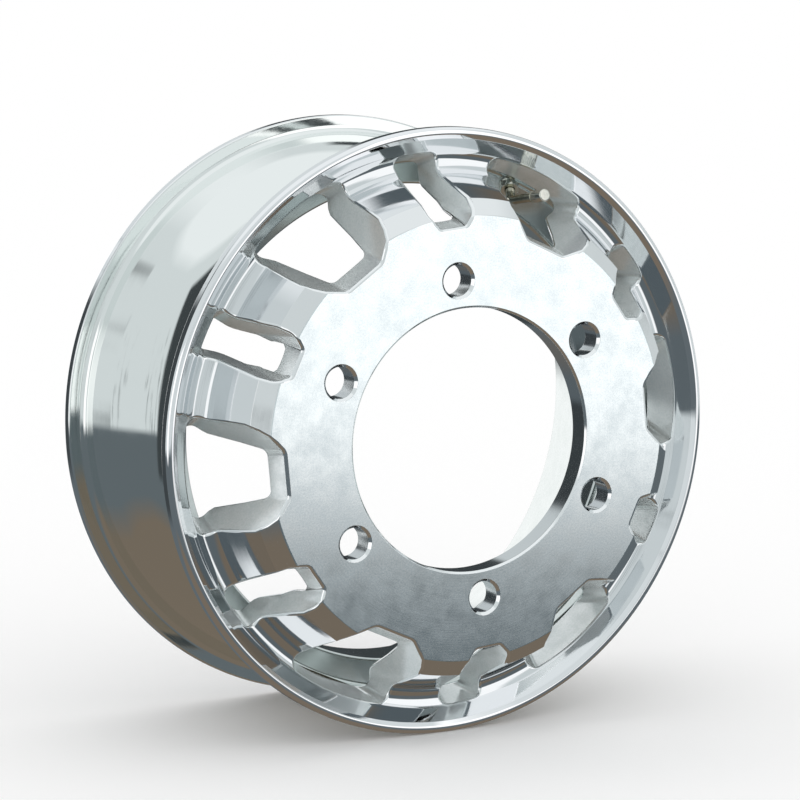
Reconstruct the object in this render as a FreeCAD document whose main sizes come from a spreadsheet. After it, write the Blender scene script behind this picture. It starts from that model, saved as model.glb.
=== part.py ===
import FreeCAD, Part
import math
import os
import Sketcher

# Forged disc wheel with a 15 degree drop centre rim, and its bent tyre valve.
# The wheel spins about Y. The origin is on the spin axis in the hub mounting
# face, the show side looks toward -Y, and the tyre sits around the outside.
# Every length is in millimetres and every angle in degrees.

SIZES = (
    # Hub plate
    ("disc_thickness", "20", "hub plate, from mounting face to show face"),
    ("bore_radius", "101", "hub pilot bore"),
    ("bore_chamfer", "1.5", "chamfer on both mouths of the bore"),
    ("face_rounding", "2.5", "rounding of that edge"),
    ("seat_step", "6.5", "mounting face edge, inside the edge of the show face"),
    ("seat_rounding", "15", "rounding of that edge"),
    ("stud_circle", "245", "diameter of the stud hole circle"),
    ("stud_count", "6", "stud holes, and windows of each kind"),
    ("stud_hole_radius", "12", "stud hole"),
    ("stud_chamfer", "1.5", "chamfer on both mouths of a stud hole"),
    ("stand_turn", "5.34", "turn of the whole wheel about its axis"),
    # Disc outside the hub plate
    ("bevel_width", "12.5", "bevel around the show face"),
    ("bevel_depth", "10", "fall of that bevel"),
    ("slope_width", "22", "slope between bevel and valley"),
    ("valley_width", "21", "rise from the valley corner to the front lip"),
    ("valley_sink", "18.4", "depth of the valley corner under the front lip"),
    ("valley_rounding", "12", "rounding of the valley"),
    ("lip_width", "8.95", "front lip, from its inner edge to the outside"),
    ("lip_fall", "2.125", "fall of the lip toward its inner edge"),
    ("lip_inner_rounding", "3", "rounding of that edge"),
    ("lip_flat_width", "5.45", "flat ring on the front lip"),
    ("back_floor_width", "19", "groove floor behind the disc"),
    ("back_floor_fall", "7", "slope of that floor"),
    ("disc_web", "9", "from the valley corner back to the groove floor"),
    ("back_slope_rounding", "12", "rounding of that corner"),
    ("groove_undercut", "2.5", "groove corner, outside the inner wall"),
    ("groove_wall", "11.5", "side of the groove that meets the rim"),
    ("groove_rounding", "6", "rounding of that corner"),
    # Rim
    ("inset", "116.5", "mounting face to the middle of the rim"),
    ("rim_width", "171.45", "between the two flanges, 6.75 inch"),
    ("flange_thickness", "11", "front and rear flange"),
    ("flange_radius", "234.95", "outside of both flanges"),
    ("flange_edge", "4", "rounding of the outer flange edges"),
    ("flange_lip", "1.5", "rounding of the flange edges beside the tyre"),
    ("flange_height", "12.7", "flange above the bead seat, 17.5 inch across the seats"),
    ("heel_rounding", "6", "rounding between bead seat and flange"),
    ("seat_angle", "15", "taper of both bead seats"),
    ("front_seat_length", "44.6", "length of the front bead seat"),
    ("rear_seat_length", "39", "length of the rear bead seat"),
    ("seat_end_rounding", "8", "rounding where a bead seat ends"),
    ("well_drop", "27.5", "well below the bead seat"),
    ("well_step", "60.175", "front flange to the start of the well"),
    ("well_width", "34.35", "floor of the well"),
    ("well_front_rounding", "10", "rounding at the front of the well"),
    ("well_rear_rounding", "20", "rounding at the rear of the well"),
    ("well_wall", "7.5", "wall under the well"),
    ("inner_start_drop", "15.75", "inner wall below the heel, where the front slope starts"),
    ("inner_lead", "3.9", "inner well start ahead of the outer one"),
    ("inner_lag", "4", "inner well end behind the outer one"),
    ("inner_rear_drop", "18.25", "inner wall below the heel, at the foot of the rear seat"),
    ("inner_rear_lag", "1.575", "that place, behind the end of the rear seat"),
    ("rear_lip_width", "20.25", "rear lip, from its inner edge to the outside"),
    # Windows, each a tapered cut drawn at its front and at its back
    ("window_above", "0.7", "front outline above the show face"),
    ("window_edge_front", "4.45", "outer wall of every window, inside the flange, at the front"),
    ("window_edge_back", "1.4", "outer wall of every window, inside the inner wall, at the back"),
    ("large_notch_half", "17.5", "large window, half of its inner end"),
    ("large_notch_past", "-26", "inner end, outside the sharp edge"),
    ("large_knee_half", "45.5", "half width at the knee"),
    ("large_knee_past", "-3.5", "knee, outside the sharp edge"),
    ("large_side_half", "77.9", "point that the side points at, half width"),
    ("large_side_past", "33.4", "that point, from the spin axis"),
    ("large_notch_rounding", "8", "rounding of the inner end"),
    ("large_knee_rounding", "36", "rounding of the knee"),
    ("large_outer_rounding", "12", "rounding of the outer corners"),
    ("large_back_notch_half", "9.2", "the same on the back outline"),
    ("large_back_notch_past", "-2.3", "inner end"),
    ("large_back_knee_half", "29", "half width at the knee"),
    ("large_back_knee_past", "13.7", "knee"),
    ("large_back_side_half", "46", "point that the side points at"),
    ("large_back_side_past", "33", "that point"),
    ("large_back_notch_rounding", "5", "rounding of the inner end"),
    ("large_back_knee_rounding", "28", "rounding of the knee"),
    ("large_back_outer_rounding", "6", "rounding of the outer corners"),
    ("narrow_notch_half", "11", "narrow window, half of its inner end"),
    ("narrow_notch_past", "-21", "inner end, outside the sharp edge"),
    ("narrow_knee_half", "19.5", "half width at the knee"),
    ("narrow_knee_past", "-10", "knee, outside the sharp edge"),
    ("narrow_side_half", "35.5", "point that the side points at, half width"),
    ("narrow_side_past", "39", "that point, from the spin axis"),
    ("narrow_notch_rounding", "5", "rounding of the inner end"),
    ("narrow_knee_rounding", "12", "rounding of the knee"),
    ("narrow_outer_rounding", "10", "rounding of the outer corners"),
    ("narrow_back_notch_half", "3", "the same on the back outline"),
    ("narrow_back_notch_past", "-1", "inner end"),
    ("narrow_back_knee_half", "4.5", "half width at the knee"),
    ("narrow_back_knee_past", "3", "knee"),
    ("narrow_back_side_half", "14", "point that the side points at"),
    ("narrow_back_side_past", "46", "that point"),
    ("narrow_back_notch_rounding", "2", "rounding of the inner end"),
    ("narrow_back_knee_rounding", "30", "rounding of the knee"),
    ("narrow_back_outer_rounding", "4", "rounding of the outer corners"),
    # Valve hole, on the slope between rim wall and well
    ("valve_azimuth", "60", "place of the valve around the wheel"),
    ("valve_drop", "2.5", "middle of the inner spot face, below the start of the slope"),
    ("valve_back", "2.8", "middle of the inner spot face, behind that start"),
    ("valve_lean", "45", "lean of the hole toward the spin axis"),
    ("valve_wall", "4", "wall between the inner and the tyre side spot face"),
    ("valve_hole_radius", "4.95", "valve hole"),
    ("spot_radius", "8.7", "inner spot face"),
    ("pocket_radius", "7.9", "spot face on the tyre side"),
    ("spot_clearance", "12", "how far the spot face tools reach out of the metal"),
    # Valve, measured along its hole from the inner spot face
    ("foot_radius", "7.4", "foot of the stem"),
    ("foot_thickness", "2.4", "foot of the stem"),
    ("foot_rounding", "1", "rounding of the foot"),
    ("grommet_thickness", "2.8", "flange of the grommet"),
    ("grommet_radius", "7.6", "flange of the grommet"),
    ("grommet_neck", "3", "length of the neck in the hole"),
    ("grommet_edge", "0.8", "rounding of the grommet"),
    ("washer_radius", "8.2", "washer"),
    ("washer_thickness", "1.2", "washer"),
    ("nut_height", "6", "nut"),
    ("nut_flats", "14", "across the flats of the nut"),
    ("nut_chamfer", "0.9", "depth of the corner chamfer of the nut"),
    ("stem_radius", "3.85", "stem"),
    ("passage_radius", "1.3", "air passage"),
    ("stem_rise", "11.5", "straight part between hole and bend"),
    ("bend_radius", "14", "middle line of the bend"),
    ("bend_angle", "55", "how far the stem is bent back to the front"),
    ("stem_run", "36", "straight part between bend and mouth"),
    ("collar_radius", "4.7", "collar under the cap"),
    ("collar_start", "13.6", "collar, below the mouth"),
    ("collar_length", "2.2", "collar"),
    ("chamber_radius", "2.65", "thread of the chamber in the mouth"),
    ("chamber_depth", "9", "length of that thread"),
    ("throat_radius", "1.9", "narrow part of the chamber"),
    ("throat_start", "11", "end of the taper between both"),
    ("throat_depth", "25", "end of the chamber"),
    ("mouth_chamfer", "0.5", "chamfer at the mouth"),
    # Cap, measured from the mouth outward
    ("cap_radius", "4.9", "cap"),
    ("cap_skirt", "10.4", "cap, how far it reaches down from the mouth"),
    ("cap_crown", "3.2", "cap, how far it stands above the mouth"),
    ("cap_roof", "1.6", "roof of the cap"),
    ("cap_rounding", "1.2", "rounding of the cap"),
    ("cap_groove_count", "20", "grip grooves"),
    ("cap_groove_radius", "0.45", "grip groove"),
    ("cap_groove_length", "7", "grip groove"),
    ("cap_seal_hole", "1", "hole of the cap seal"),
    # Core, measured from the mouth inward
    ("core_radius", "2.6", "threaded head of the core"),
    ("core_top", "0.8", "top of the head below the mouth"),
    ("core_head_end", "8.4", "end of the head"),
    ("core_neck_radius", "1.15", "neck that carries the seal"),
    ("core_neck_end", "11.4", "end of the neck"),
    ("core_barrel_radius", "1.6", "lower barrel"),
    ("core_barrel_end", "18", "end of the lower barrel"),
    ("core_cavity_radius", "1.75", "cavity for the spring"),
    ("core_shelf", "7", "shelf that the spring stands on"),
    ("core_hole_radius", "0.85", "hole for the pin"),
    ("core_slot_width", "1.1", "slot for the core tool"),
    ("core_slot_depth", "1.6", "slot for the core tool"),
    ("pin_radius", "0.6", "pin"),
    ("pin_top", "0.4", "top of the pin below the mouth"),
    ("pin_collar_radius", "1.5", "collar above the spring"),
    ("pin_collar_top", "1.6", "collar above the spring"),
    ("pin_collar_height", "0.5", "collar above the spring"),
    ("pin_end", "20.6", "lower end of the pin"),
    ("cup_radius", "1.5", "cup"),
    ("cup_height", "2", "cup"),
    ("spring_radius", "1.25", "middle line of the spring"),
    ("spring_wire", "0.2", "radius of the spring wire"),
    ("spring_turns", "6", "turns of the spring"),
    ("grow", "1", "how far a cutting outline reaches past the metal"),
)


os.makedirs("parts", exist_ok=True)
doc = FreeCAD.newDocument("disc_wheel")
sheet = doc.addObject("Spreadsheet::Sheet", "sizes")
for row, (alias, value, note) in enumerate(SIZES, start=1):
    sheet.set("A%d" % row, alias.replace("_", " "))
    sheet.set("B%d" % row, value)
    sheet.set("C%d" % row, note)
    sheet.setAlias("B%d" % row, alias)
doc.recompute()


def bound(alias):
    """Return the formula that reads one value of the sheet."""
    return "sizes." + alias


def value_of(formula):
    """Return the present value of a formula."""
    return float(sheet.evalExpression(formula))


def new_body(name, placement=None):
    """Start a body, with its place as a formula where it has one."""
    body = doc.addObject("PartDesign::Body", name)
    body.Label = name
    if placement:
        body.setExpression("Placement", placement)
    return body


def origin_part(body, role):
    """Return a plane or an axis of the body's own origin."""
    for feature in body.Origin.OriginFeatures:
        if feature.Role == role:
            return feature
    raise ValueError(role)


def new_sketch(body, name, role, offset=None):
    """Start a sketch on one of the body's origin planes."""
    sketch = body.newObject("Sketcher::SketchObject", name)
    sketch.AttachmentSupport = [(origin_part(body, role), "")]
    sketch.MapMode = "FlatFace"
    if offset:
        sketch.setExpression("AttachmentOffset", offset)
    return sketch


def pin_point(sketch, geometry, place, x, y):
    """Fix one point of a sketch at two formulas."""
    for kind, axis, formula in (("DistanceX", -2, x), ("DistanceY", -1, y)):
        if formula == "0":
            sketch.addConstraint(Sketcher.Constraint("PointOnObject", geometry, place, axis))
            continue
        value = value_of(formula)
        number = sketch.addConstraint(
            Sketcher.Constraint(kind, -1, 1, geometry, place, value))
        sketch.setExpression("Constraints[%d]" % number, formula)


def bind_radius(sketch, geometry, formula):
    """Give a round piece of a sketch a radius."""
    number = sketch.addConstraint(Sketcher.Constraint("Radius", geometry, value_of(formula)))
    sketch.setExpression("Constraints[%d]" % number, formula)


class Straight:
    """A straight edge through two guide points."""

    def __init__(self, start, end):
        """Keep the guide points and the direction between them."""
        self.guides = (start, end)
        self.point = [value_of(formula) for formula in start]
        other = [value_of(formula) for formula in end]
        length = math.dist(self.point, other)
        self.way = [(b - a) / length for a, b in zip(self.point, other)]

    def moved(self, side):
        """Return a point and the direction of the edge moved to its left."""
        point = (self.point[0] - side * self.way[1], self.point[1] + side * self.way[0])
        return point, self.way

    def way_at(self, point):
        """Return the direction of travel."""
        return self.way

    def touch(self, centre):
        """Return the point of the edge nearest to a centre."""
        gap = [c - p for c, p in zip(centre, self.point)]
        reach = gap[0] * self.way[0] + gap[1] * self.way[1]
        return [p + reach * w for p, w in zip(self.point, self.way)]


class Round:
    """An edge around the sketch origin, travelled anticlockwise."""

    def __init__(self, radius):
        """Keep the radius formula."""
        self.formula = radius
        self.radius = value_of(radius)
        self.guides = ()

    def way_at(self, point):
        """Return the direction of travel at a point."""
        return (-point[1] / self.radius, point[0] / self.radius)

    def touch(self, centre):
        """Return the point of the edge nearest to a centre."""
        length = math.hypot(*centre)
        return [self.radius * c / length for c in centre]


def crossing(before, after, side):
    """Return where two edges cross once both are moved to their left."""
    if isinstance(before, Straight) and isinstance(after, Straight):
        (px, py), (ax, ay) = before.moved(side)
        (qx, qy), (bx, by) = after.moved(side)
        reach = ((qx - px) * by - (qy - py) * bx) / (ax * by - ay * bx)
        return (px + reach * ax, py + reach * ay)
    line, ring = (before, after) if isinstance(before, Straight) else (after, before)
    (px, py), (ax, ay) = line.moved(side)
    radius = ring.radius - side
    middle = -(px * ax + py * ay)
    half = math.sqrt(radius ** 2 - (px * ay - py * ax) ** 2)
    reach = middle + half if line is before else middle - half
    return (px + reach * ax, py + reach * ay)


def angle_of(point, centre=(0, 0)):
    """Return the direction of a point seen from a centre."""
    return math.atan2(point[1] - centre[1], point[0] - centre[0])


def arc_between(centre, radius, start, end):
    """Return an anticlockwise arc between two points."""
    first = angle_of(start, centre)
    last = angle_of(end, centre)
    if last <= first:
        last += 2 * math.pi
    circle = Part.Circle(FreeCAD.Vector(*centre, 0), FreeCAD.Vector(0, 0, 1), radius)
    return Part.ArcOfCircle(circle, first, last)


def corner(before, after, rounding):
    """Return the end of one edge, the start of the next and the arc between."""
    meet = crossing(before, after, 0)
    if not rounding:
        return meet, meet, None
    turn_x, turn_y = before.way_at(meet)
    next_x, next_y = after.way_at(meet)
    left = turn_x * next_y - turn_y * next_x > 0
    radius = value_of(rounding)
    centre = crossing(before, after, radius if left else -radius)
    end = before.touch(centre)
    start = after.touch(centre)
    ends = (end, start) if left else (start, end)
    return end, start, (left, arc_between(centre, radius, *ends))


def draw_guides(sketch, edges):
    """Draw the fixed points that the straight edges run through."""
    guides = {}
    for edge in edges:
        for guide in edge.guides:
            if guide in guides:
                continue
            spot = FreeCAD.Vector(*(value_of(formula) for formula in guide), 0)
            guides[guide] = sketch.addGeometry(Part.Point(spot), True)
            pin_point(sketch, guides[guide], 1, *guide)
    return guides


def outline(sketch, edges, roundings):
    """Draw a closed outline, each rounding at the end of its edge."""
    guides = draw_guides(sketch, edges)
    count = len(edges)
    corners = [corner(edges[i], edges[(i + 1) % count], roundings[i]) for i in range(count)]
    drawn = []
    for number, edge in enumerate(edges):
        start = corners[number - 1][1]
        end = corners[number][0]
        if isinstance(edge, Round):
            geometry = sketch.addGeometry(arc_between((0, 0), edge.radius, start, end))
            sketch.addConstraint(Sketcher.Constraint("Coincident", geometry, 3, -1, 1))
            bind_radius(sketch, geometry, edge.formula)
        else:
            ends = (FreeCAD.Vector(*start, 0), FreeCAD.Vector(*end, 0))
            geometry = sketch.addGeometry(Part.LineSegment(*ends))
            sharp = (not roundings[number - 1], not roundings[number])
            for guide, skip in zip(edge.guides, sharp):
                if not skip:
                    sketch.addConstraint(Sketcher.Constraint(
                        "PointOnObject", guides[guide], 1, geometry))
        drawn.append(geometry)
    for number, (_, _, bend) in enumerate(corners):
        before = drawn[number]
        after = drawn[(number + 1) % count]
        if bend is None:
            guide = guides[edges[number].guides[1]]
            for geometry, place in ((before, 2), (after, 1)):
                sketch.addConstraint(Sketcher.Constraint("Coincident", geometry, place, guide, 1))
            continue
        left, arc = bend
        geometry = sketch.addGeometry(arc)
        first, last = (1, 2) if left else (2, 1)
        sketch.addConstraint(Sketcher.Constraint("Tangent", before, 2, geometry, first))
        sketch.addConstraint(Sketcher.Constraint("Tangent", after, 1, geometry, last))
        bind_radius(sketch, geometry, roundings[number])
    return sketch


def polygon(sketch, corners):
    """Draw a closed outline through corners given as x, y and rounding."""
    points = [(x, y) for x, y, rounding in corners]
    count = len(points)
    edges = [Straight(points[i], points[(i + 1) % count]) for i in range(count)]
    roundings = [corners[(i + 1) % count][2] for i in range(count)]
    return outline(sketch, edges, roundings)


def circle(sketch, x, y, radius):
    """Draw one circle."""
    middle = FreeCAD.Vector(value_of(x), value_of(y), 0)
    ring = Part.Circle(middle, FreeCAD.Vector(0, 0, 1), value_of(radius))
    geometry = sketch.addGeometry(ring)
    pin_point(sketch, geometry, 3, x, y)
    bind_radius(sketch, geometry, radius)
    return sketch


def turned(body, kind, name, sketch, axis):
    """Revolve a sketch about one of its axes, adding or cutting metal."""
    doc.recompute()
    feature = body.newObject("PartDesign::" + kind, name)
    feature.Profile = sketch
    feature.ReferenceAxis = (sketch, [axis])
    feature.Angle = 360
    doc.recompute()
    return feature


def extruded(body, kind, name, sketch, length, both=False):
    """Push a sketch along its normal, adding or cutting metal."""
    doc.recompute()
    feature = body.newObject("PartDesign::" + kind, name)
    feature.Profile = sketch
    feature.setExpression("Length", length)
    feature.Midplane = both
    doc.recompute()
    return feature


def patterned(body, name, originals, role, occurrences):
    """Repeat features evenly around an axis of the body."""
    pattern = body.newObject("PartDesign::PolarPattern", name)
    pattern.Originals = originals
    pattern.Axis = (origin_part(body, role), [""])
    pattern.Angle = 360
    pattern.setExpression("Occurrences", occurrences)
    body.Tip = pattern
    doc.recompute()
    return pattern


# Places worked out from the sizes: radii count down from the flanges, depths
# from the two ends of the rim and from the mounting face.
RIM_FRONT = "(sizes.inset - sizes.rim_width / 2)"
RIM_REAR = "(sizes.inset + sizes.rim_width / 2)"
HEEL = "(sizes.flange_radius - sizes.flange_height)"
LIP_INNER = "(sizes.flange_radius - sizes.lip_width)"
LIP_FLAT = "(sizes.flange_radius - sizes.lip_flat_width)"
VALLEY = "(%s - sizes.valley_width)" % LIP_INNER
SHOULDER = "(%s - sizes.slope_width)" % VALLEY
FACE = "(%s - sizes.bevel_width)" % SHOULDER
SEAT_EDGE = "(%s - sizes.seat_step)" % FACE
WELL = "(%s - sizes.well_drop)" % HEEL
INNER_START = "(%s - sizes.inner_start_drop)" % HEEL
INNER_REAR = "(%s - sizes.inner_rear_drop)" % HEEL
REAR_LIP = "(sizes.flange_radius - sizes.rear_lip_width)"
GROOVE = "(%s + sizes.groove_undercut)" % INNER_START
BACK_FLOOR = "(%s - sizes.back_floor_width)" % GROOVE
LIP_DEPTH = "(%s - sizes.flange_thickness)" % RIM_FRONT
LIP_INNER_DEPTH = "(%s + sizes.lip_fall)" % LIP_DEPTH
VALLEY_DEPTH = "(%s + sizes.valley_sink)" % LIP_INNER_DEPTH
SHOULDER_DEPTH = "(sizes.bevel_depth - sizes.disc_thickness)"
BACK_FLOOR_DEPTH = "(%s + sizes.disc_web)" % VALLEY_DEPTH
GROOVE_DEPTH = "(%s + sizes.back_floor_fall)" % BACK_FLOOR_DEPTH
INNER_DEPTH = "(%s + sizes.groove_wall)" % GROOVE_DEPTH
WELL_START = "(%s + sizes.well_step)" % RIM_FRONT
WELL_END = "(%s + sizes.well_width)" % WELL_START
WINDOW_OUTER = {
    "front": "(sizes.flange_radius - sizes.window_edge_front)",
    "back": "(%s - sizes.window_edge_back)" % INNER_START,
}
VALVE_REACH = "(%s - sizes.valve_drop)" % INNER_START
VALVE_DEPTH = "(%s + sizes.valve_back)" % INNER_DEPTH


def window_outline(sketch, kind):
    """Draw one window, its outer edge around the spin axis."""
    where = "back" if "back" in kind else "front"
    right = tuple(
        (bound("%s_%s_half" % (kind, point)), "%s + %s" % (SHOULDER, bound("%s_%s_past" % (kind, point))))
        for point in ("notch", "knee", "side"))
    left = tuple(("-" + x, y) for x, y in right)
    edges = (
        Straight(left[0], right[0]),
        Straight(right[0], right[1]),
        Straight(right[1], right[2]),
        Round(WINDOW_OUTER[where]),
        Straight(left[2], left[1]),
        Straight(left[1], left[0]),
    )
    at_notch = bound(kind + "_notch_rounding")
    at_knee = bound(kind + "_knee_rounding")
    at_rim = bound(kind + "_outer_rounding")
    return outline(sketch, edges, (at_notch, at_knee, at_rim, at_rim, at_knee, at_notch))


def window_cut(body, kind, turn):
    """Cut one tapered window and repeat it around the wheel."""
    sections = []
    above = "sizes.disc_thickness + sizes.window_above"
    places = (("front", kind, above), ("back", kind + "_back", "-" + INNER_DEPTH))
    for end, alias, height in places:
        offset = "placement(vector(0; 0; %s); rotation(vector(0; 0; 1); %s))" % (height, turn)
        sketch = new_sketch(body, "%s_window_%s" % (kind, end), "XZ_Plane", offset)
        sections.append(window_outline(sketch, alias))
    doc.recompute()
    loft = body.newObject("PartDesign::SubtractiveLoft", kind + "_window")
    loft.Profile = sections[0]
    loft.Sections = [sections[1]]
    loft.Ruled = True
    doc.recompute()
    return patterned(body, kind + "_windows", [loft], "Y_Axis", "sizes.stud_count")


def wheel_section():
    """Return the corners of the half section, from the bore mouth outward."""
    front = RIM_FRONT
    rear = RIM_REAR
    drop = " * tan(sizes.seat_angle)"
    front_end = "%s + sizes.front_seat_length" % front
    rear_end = "%s - sizes.rear_seat_length" % rear
    front_seat = HEEL + " - sizes.front_seat_length" + drop
    rear_seat = HEEL + " - sizes.rear_seat_length" + drop
    inner_well = WELL + " - sizes.well_wall"
    show = "-sizes.disc_thickness"
    lip = LIP_DEPTH
    tail = "%s + sizes.flange_thickness" % rear
    return (
        ("sizes.bore_radius", "%s + sizes.bore_chamfer" % show, None),
        ("sizes.bore_radius + sizes.bore_chamfer", show, None),
        (FACE, show, "sizes.face_rounding"),
        (SHOULDER, SHOULDER_DEPTH, None),
        (VALLEY, VALLEY_DEPTH, "sizes.valley_rounding"),
        (LIP_INNER, LIP_INNER_DEPTH, "sizes.lip_inner_rounding"),
        (LIP_FLAT, lip, "sizes.lip_inner_rounding"),
        ("sizes.flange_radius", lip, "sizes.flange_edge"),
        ("sizes.flange_radius", front, "sizes.flange_lip"),
        (HEEL, front, "sizes.heel_rounding"),
        (front_seat, front_end, "sizes.seat_end_rounding"),
        (WELL, WELL_START, "sizes.well_front_rounding"),
        (WELL, WELL_END, "sizes.well_rear_rounding"),
        (rear_seat, rear_end, "sizes.seat_end_rounding"),
        (HEEL, rear, "sizes.heel_rounding"),
        ("sizes.flange_radius", rear, "sizes.flange_lip"),
        ("sizes.flange_radius", tail, "sizes.flange_edge"),
        (REAR_LIP, tail, "sizes.flange_edge"),
        (INNER_REAR, rear_end + " + sizes.inner_rear_lag", "sizes.well_front_rounding"),
        (inner_well, WELL_END + " + sizes.inner_lag", "sizes.well_rear_rounding"),
        (inner_well, WELL_START + " - sizes.inner_lead", "sizes.well_front_rounding"),
        (INNER_START, INNER_DEPTH, "sizes.seat_end_rounding"),
        (GROOVE, GROOVE_DEPTH, "sizes.groove_rounding"),
        (BACK_FLOOR, BACK_FLOOR_DEPTH, "sizes.back_slope_rounding"),
        (SEAT_EDGE, "0", "sizes.seat_rounding"),
        ("sizes.bore_radius + sizes.bore_chamfer", "0", None),
        ("sizes.bore_radius", "sizes.bore_chamfer * -1", None),
    )


STAND = "rotation(vector(0; 1; 0); -sizes.stand_turn)"
AROUND = "rotation(vector(0; 1; 0); -sizes.valve_azimuth)"
LEAN = "rotation(vector(0; 0; 1); -sizes.valve_lean)"
UPRIGHT = "rotation(vector(1; 0; 0); 90)"
VALVE_X = VALVE_REACH + " * cos(sizes.valve_azimuth)"
VALVE_Z = VALVE_REACH + " * sin(sizes.valve_azimuth)"
VALVE_AT = "vector(%s; %s; %s)" % (VALVE_X, VALVE_DEPTH, VALVE_Z)


def stud_holes(body):
    """Bore the stud holes, with a chamfer on both mouths."""
    offset = "placement(vector(0; sizes.stud_circle / 2; 0); rotation(vector(0; 0; 1); 0))"
    sketch = new_sketch(body, "stud_section", "YZ_Plane", offset)
    show = "-sizes.disc_thickness"
    wide = "sizes.stud_hole_radius + sizes.stud_chamfer"
    polygon(sketch, (
        (show + " - sizes.grow", "0", None),
        ("sizes.grow", "0", None),
        ("sizes.grow", wide, None),
        ("0", wide, None),
        ("-sizes.stud_chamfer", "sizes.stud_hole_radius", None),
        (show + " + sizes.stud_chamfer", "sizes.stud_hole_radius", None),
        (show, wide, None),
        (show + " - sizes.grow", wide, None),
    ))
    groove = turned(body, "Groove", "stud_hole", sketch, "H_Axis")
    return patterned(body, "stud_holes", [groove], "Y_Axis", "sizes.stud_count")


def valve_hole(body):
    """Bore the valve hole with a flat seat on both sides of the wall."""
    offset = "placement(%s; %s * %s)" % (VALVE_AT, AROUND, LEAN)
    sketch = new_sketch(body, "valve_section", "XY_Plane", offset)
    far = "sizes.valve_wall + sizes.spot_clearance"
    polygon(sketch, (
        ("0", "-sizes.spot_clearance", None),
        ("sizes.spot_radius", "-sizes.spot_clearance", None),
        ("sizes.spot_radius", "0", None),
        ("sizes.valve_hole_radius", "0", None),
        ("sizes.valve_hole_radius", "sizes.valve_wall", None),
        ("sizes.pocket_radius", "sizes.valve_wall", None),
        ("sizes.pocket_radius", far, None),
        ("0", far, None),
    ))
    return turned(body, "Groove", "valve_hole", sketch, "V_Axis")


def make_wheel():
    """Turn the wheel, then cut its windows and holes."""
    body = new_body("wheel", "placement(vector(0; 0; 0); %s)" % STAND)
    section = polygon(new_sketch(body, "section", "XY_Plane"), wheel_section())
    turned(body, "Revolution", "turned_wheel", section, "V_Axis")
    window_cut(body, "large", "180 / sizes.stud_count")
    window_cut(body, "narrow", "0")
    stud_holes(body)
    valve_hole(body)
    return body


SEAT = "placement(vector(0; 0; 0); %s) * placement(%s; %s * %s * %s)" % (
    STAND, VALVE_AT, AROUND, LEAN, UPRIGHT)
BENT_X = "sizes.bend_radius * (1 - cos(sizes.bend_angle)) + sizes.stem_run * sin(sizes.bend_angle)"
BENT_Z = ("sizes.stem_rise + sizes.bend_radius * sin(sizes.bend_angle)"
          " + sizes.stem_run * cos(sizes.bend_angle)")
BENT = "placement(vector(%s; 0; %s); rotation(vector(0; 1; 0); sizes.bend_angle))" % (BENT_X, BENT_Z)
MOUTH = "%s * %s" % (SEAT, BENT)


def ring(body, name, inner, outer, low, high, roundings=(None, None, None, None)):
    """Turn a ring, rounded at its four section corners where asked."""
    sketch = new_sketch(body, name + "_section", "XZ_Plane")
    polygon(sketch, (
        (inner, low, roundings[0]),
        (outer, low, roundings[1]),
        (outer, high, roundings[2]),
        (inner, high, roundings[3]),
    ))
    return turned(body, "Revolution", name, sketch, "V_Axis")


def stem_path(body, name, start):
    """Draw the middle line of the bent stem, from its start to its mouth."""
    sketch = new_sketch(body, name, "XZ_Plane")
    rise = value_of("sizes.stem_rise")
    radius = value_of("sizes.bend_radius")
    bend = math.radians(value_of("sizes.bend_angle"))
    run = value_of("sizes.stem_run")
    turn = (radius * (1 - math.cos(bend)), rise + radius * math.sin(bend))
    end = (turn[0] + run * math.sin(bend), turn[1] + run * math.cos(bend))
    points = [(0, value_of(start)), (0, rise), turn, end]
    places = [FreeCAD.Vector(x, y, 0) for x, y in points]
    first = sketch.addGeometry(Part.LineSegment(places[0], places[1]))
    arc = sketch.addGeometry(arc_between((radius, rise), radius, turn, (0, rise)))
    last = sketch.addGeometry(Part.LineSegment(places[2], places[3]))
    pin_point(sketch, first, 1, "0", start)
    pin_point(sketch, first, 2, "0", "sizes.stem_rise")
    sketch.addConstraint(Sketcher.Constraint("Tangent", first, 2, arc, 2))
    sketch.addConstraint(Sketcher.Constraint("Tangent", arc, 1, last, 1))
    bind_radius(sketch, arc, "sizes.bend_radius")
    pin_point(sketch, last, 2, BENT_X, BENT_Z)
    doc.recompute()
    return sketch


def swept(body, kind, name, start, radius):
    """Sweep a circle along the middle line of the stem."""
    path = stem_path(body, name + "_path", start)
    offset = "placement(vector(0; 0; %s); rotation(vector(0; 0; 1); 0))" % start
    sketch = circle(new_sketch(body, name + "_circle", "XY_Plane", offset), "0", "0", radius)
    doc.recompute()
    pipe = body.newObject("PartDesign::" + kind, name)
    pipe.Profile = sketch
    pipe.Spine = path
    pipe.Mode = "Standard"
    doc.recompute()
    return pipe


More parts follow.
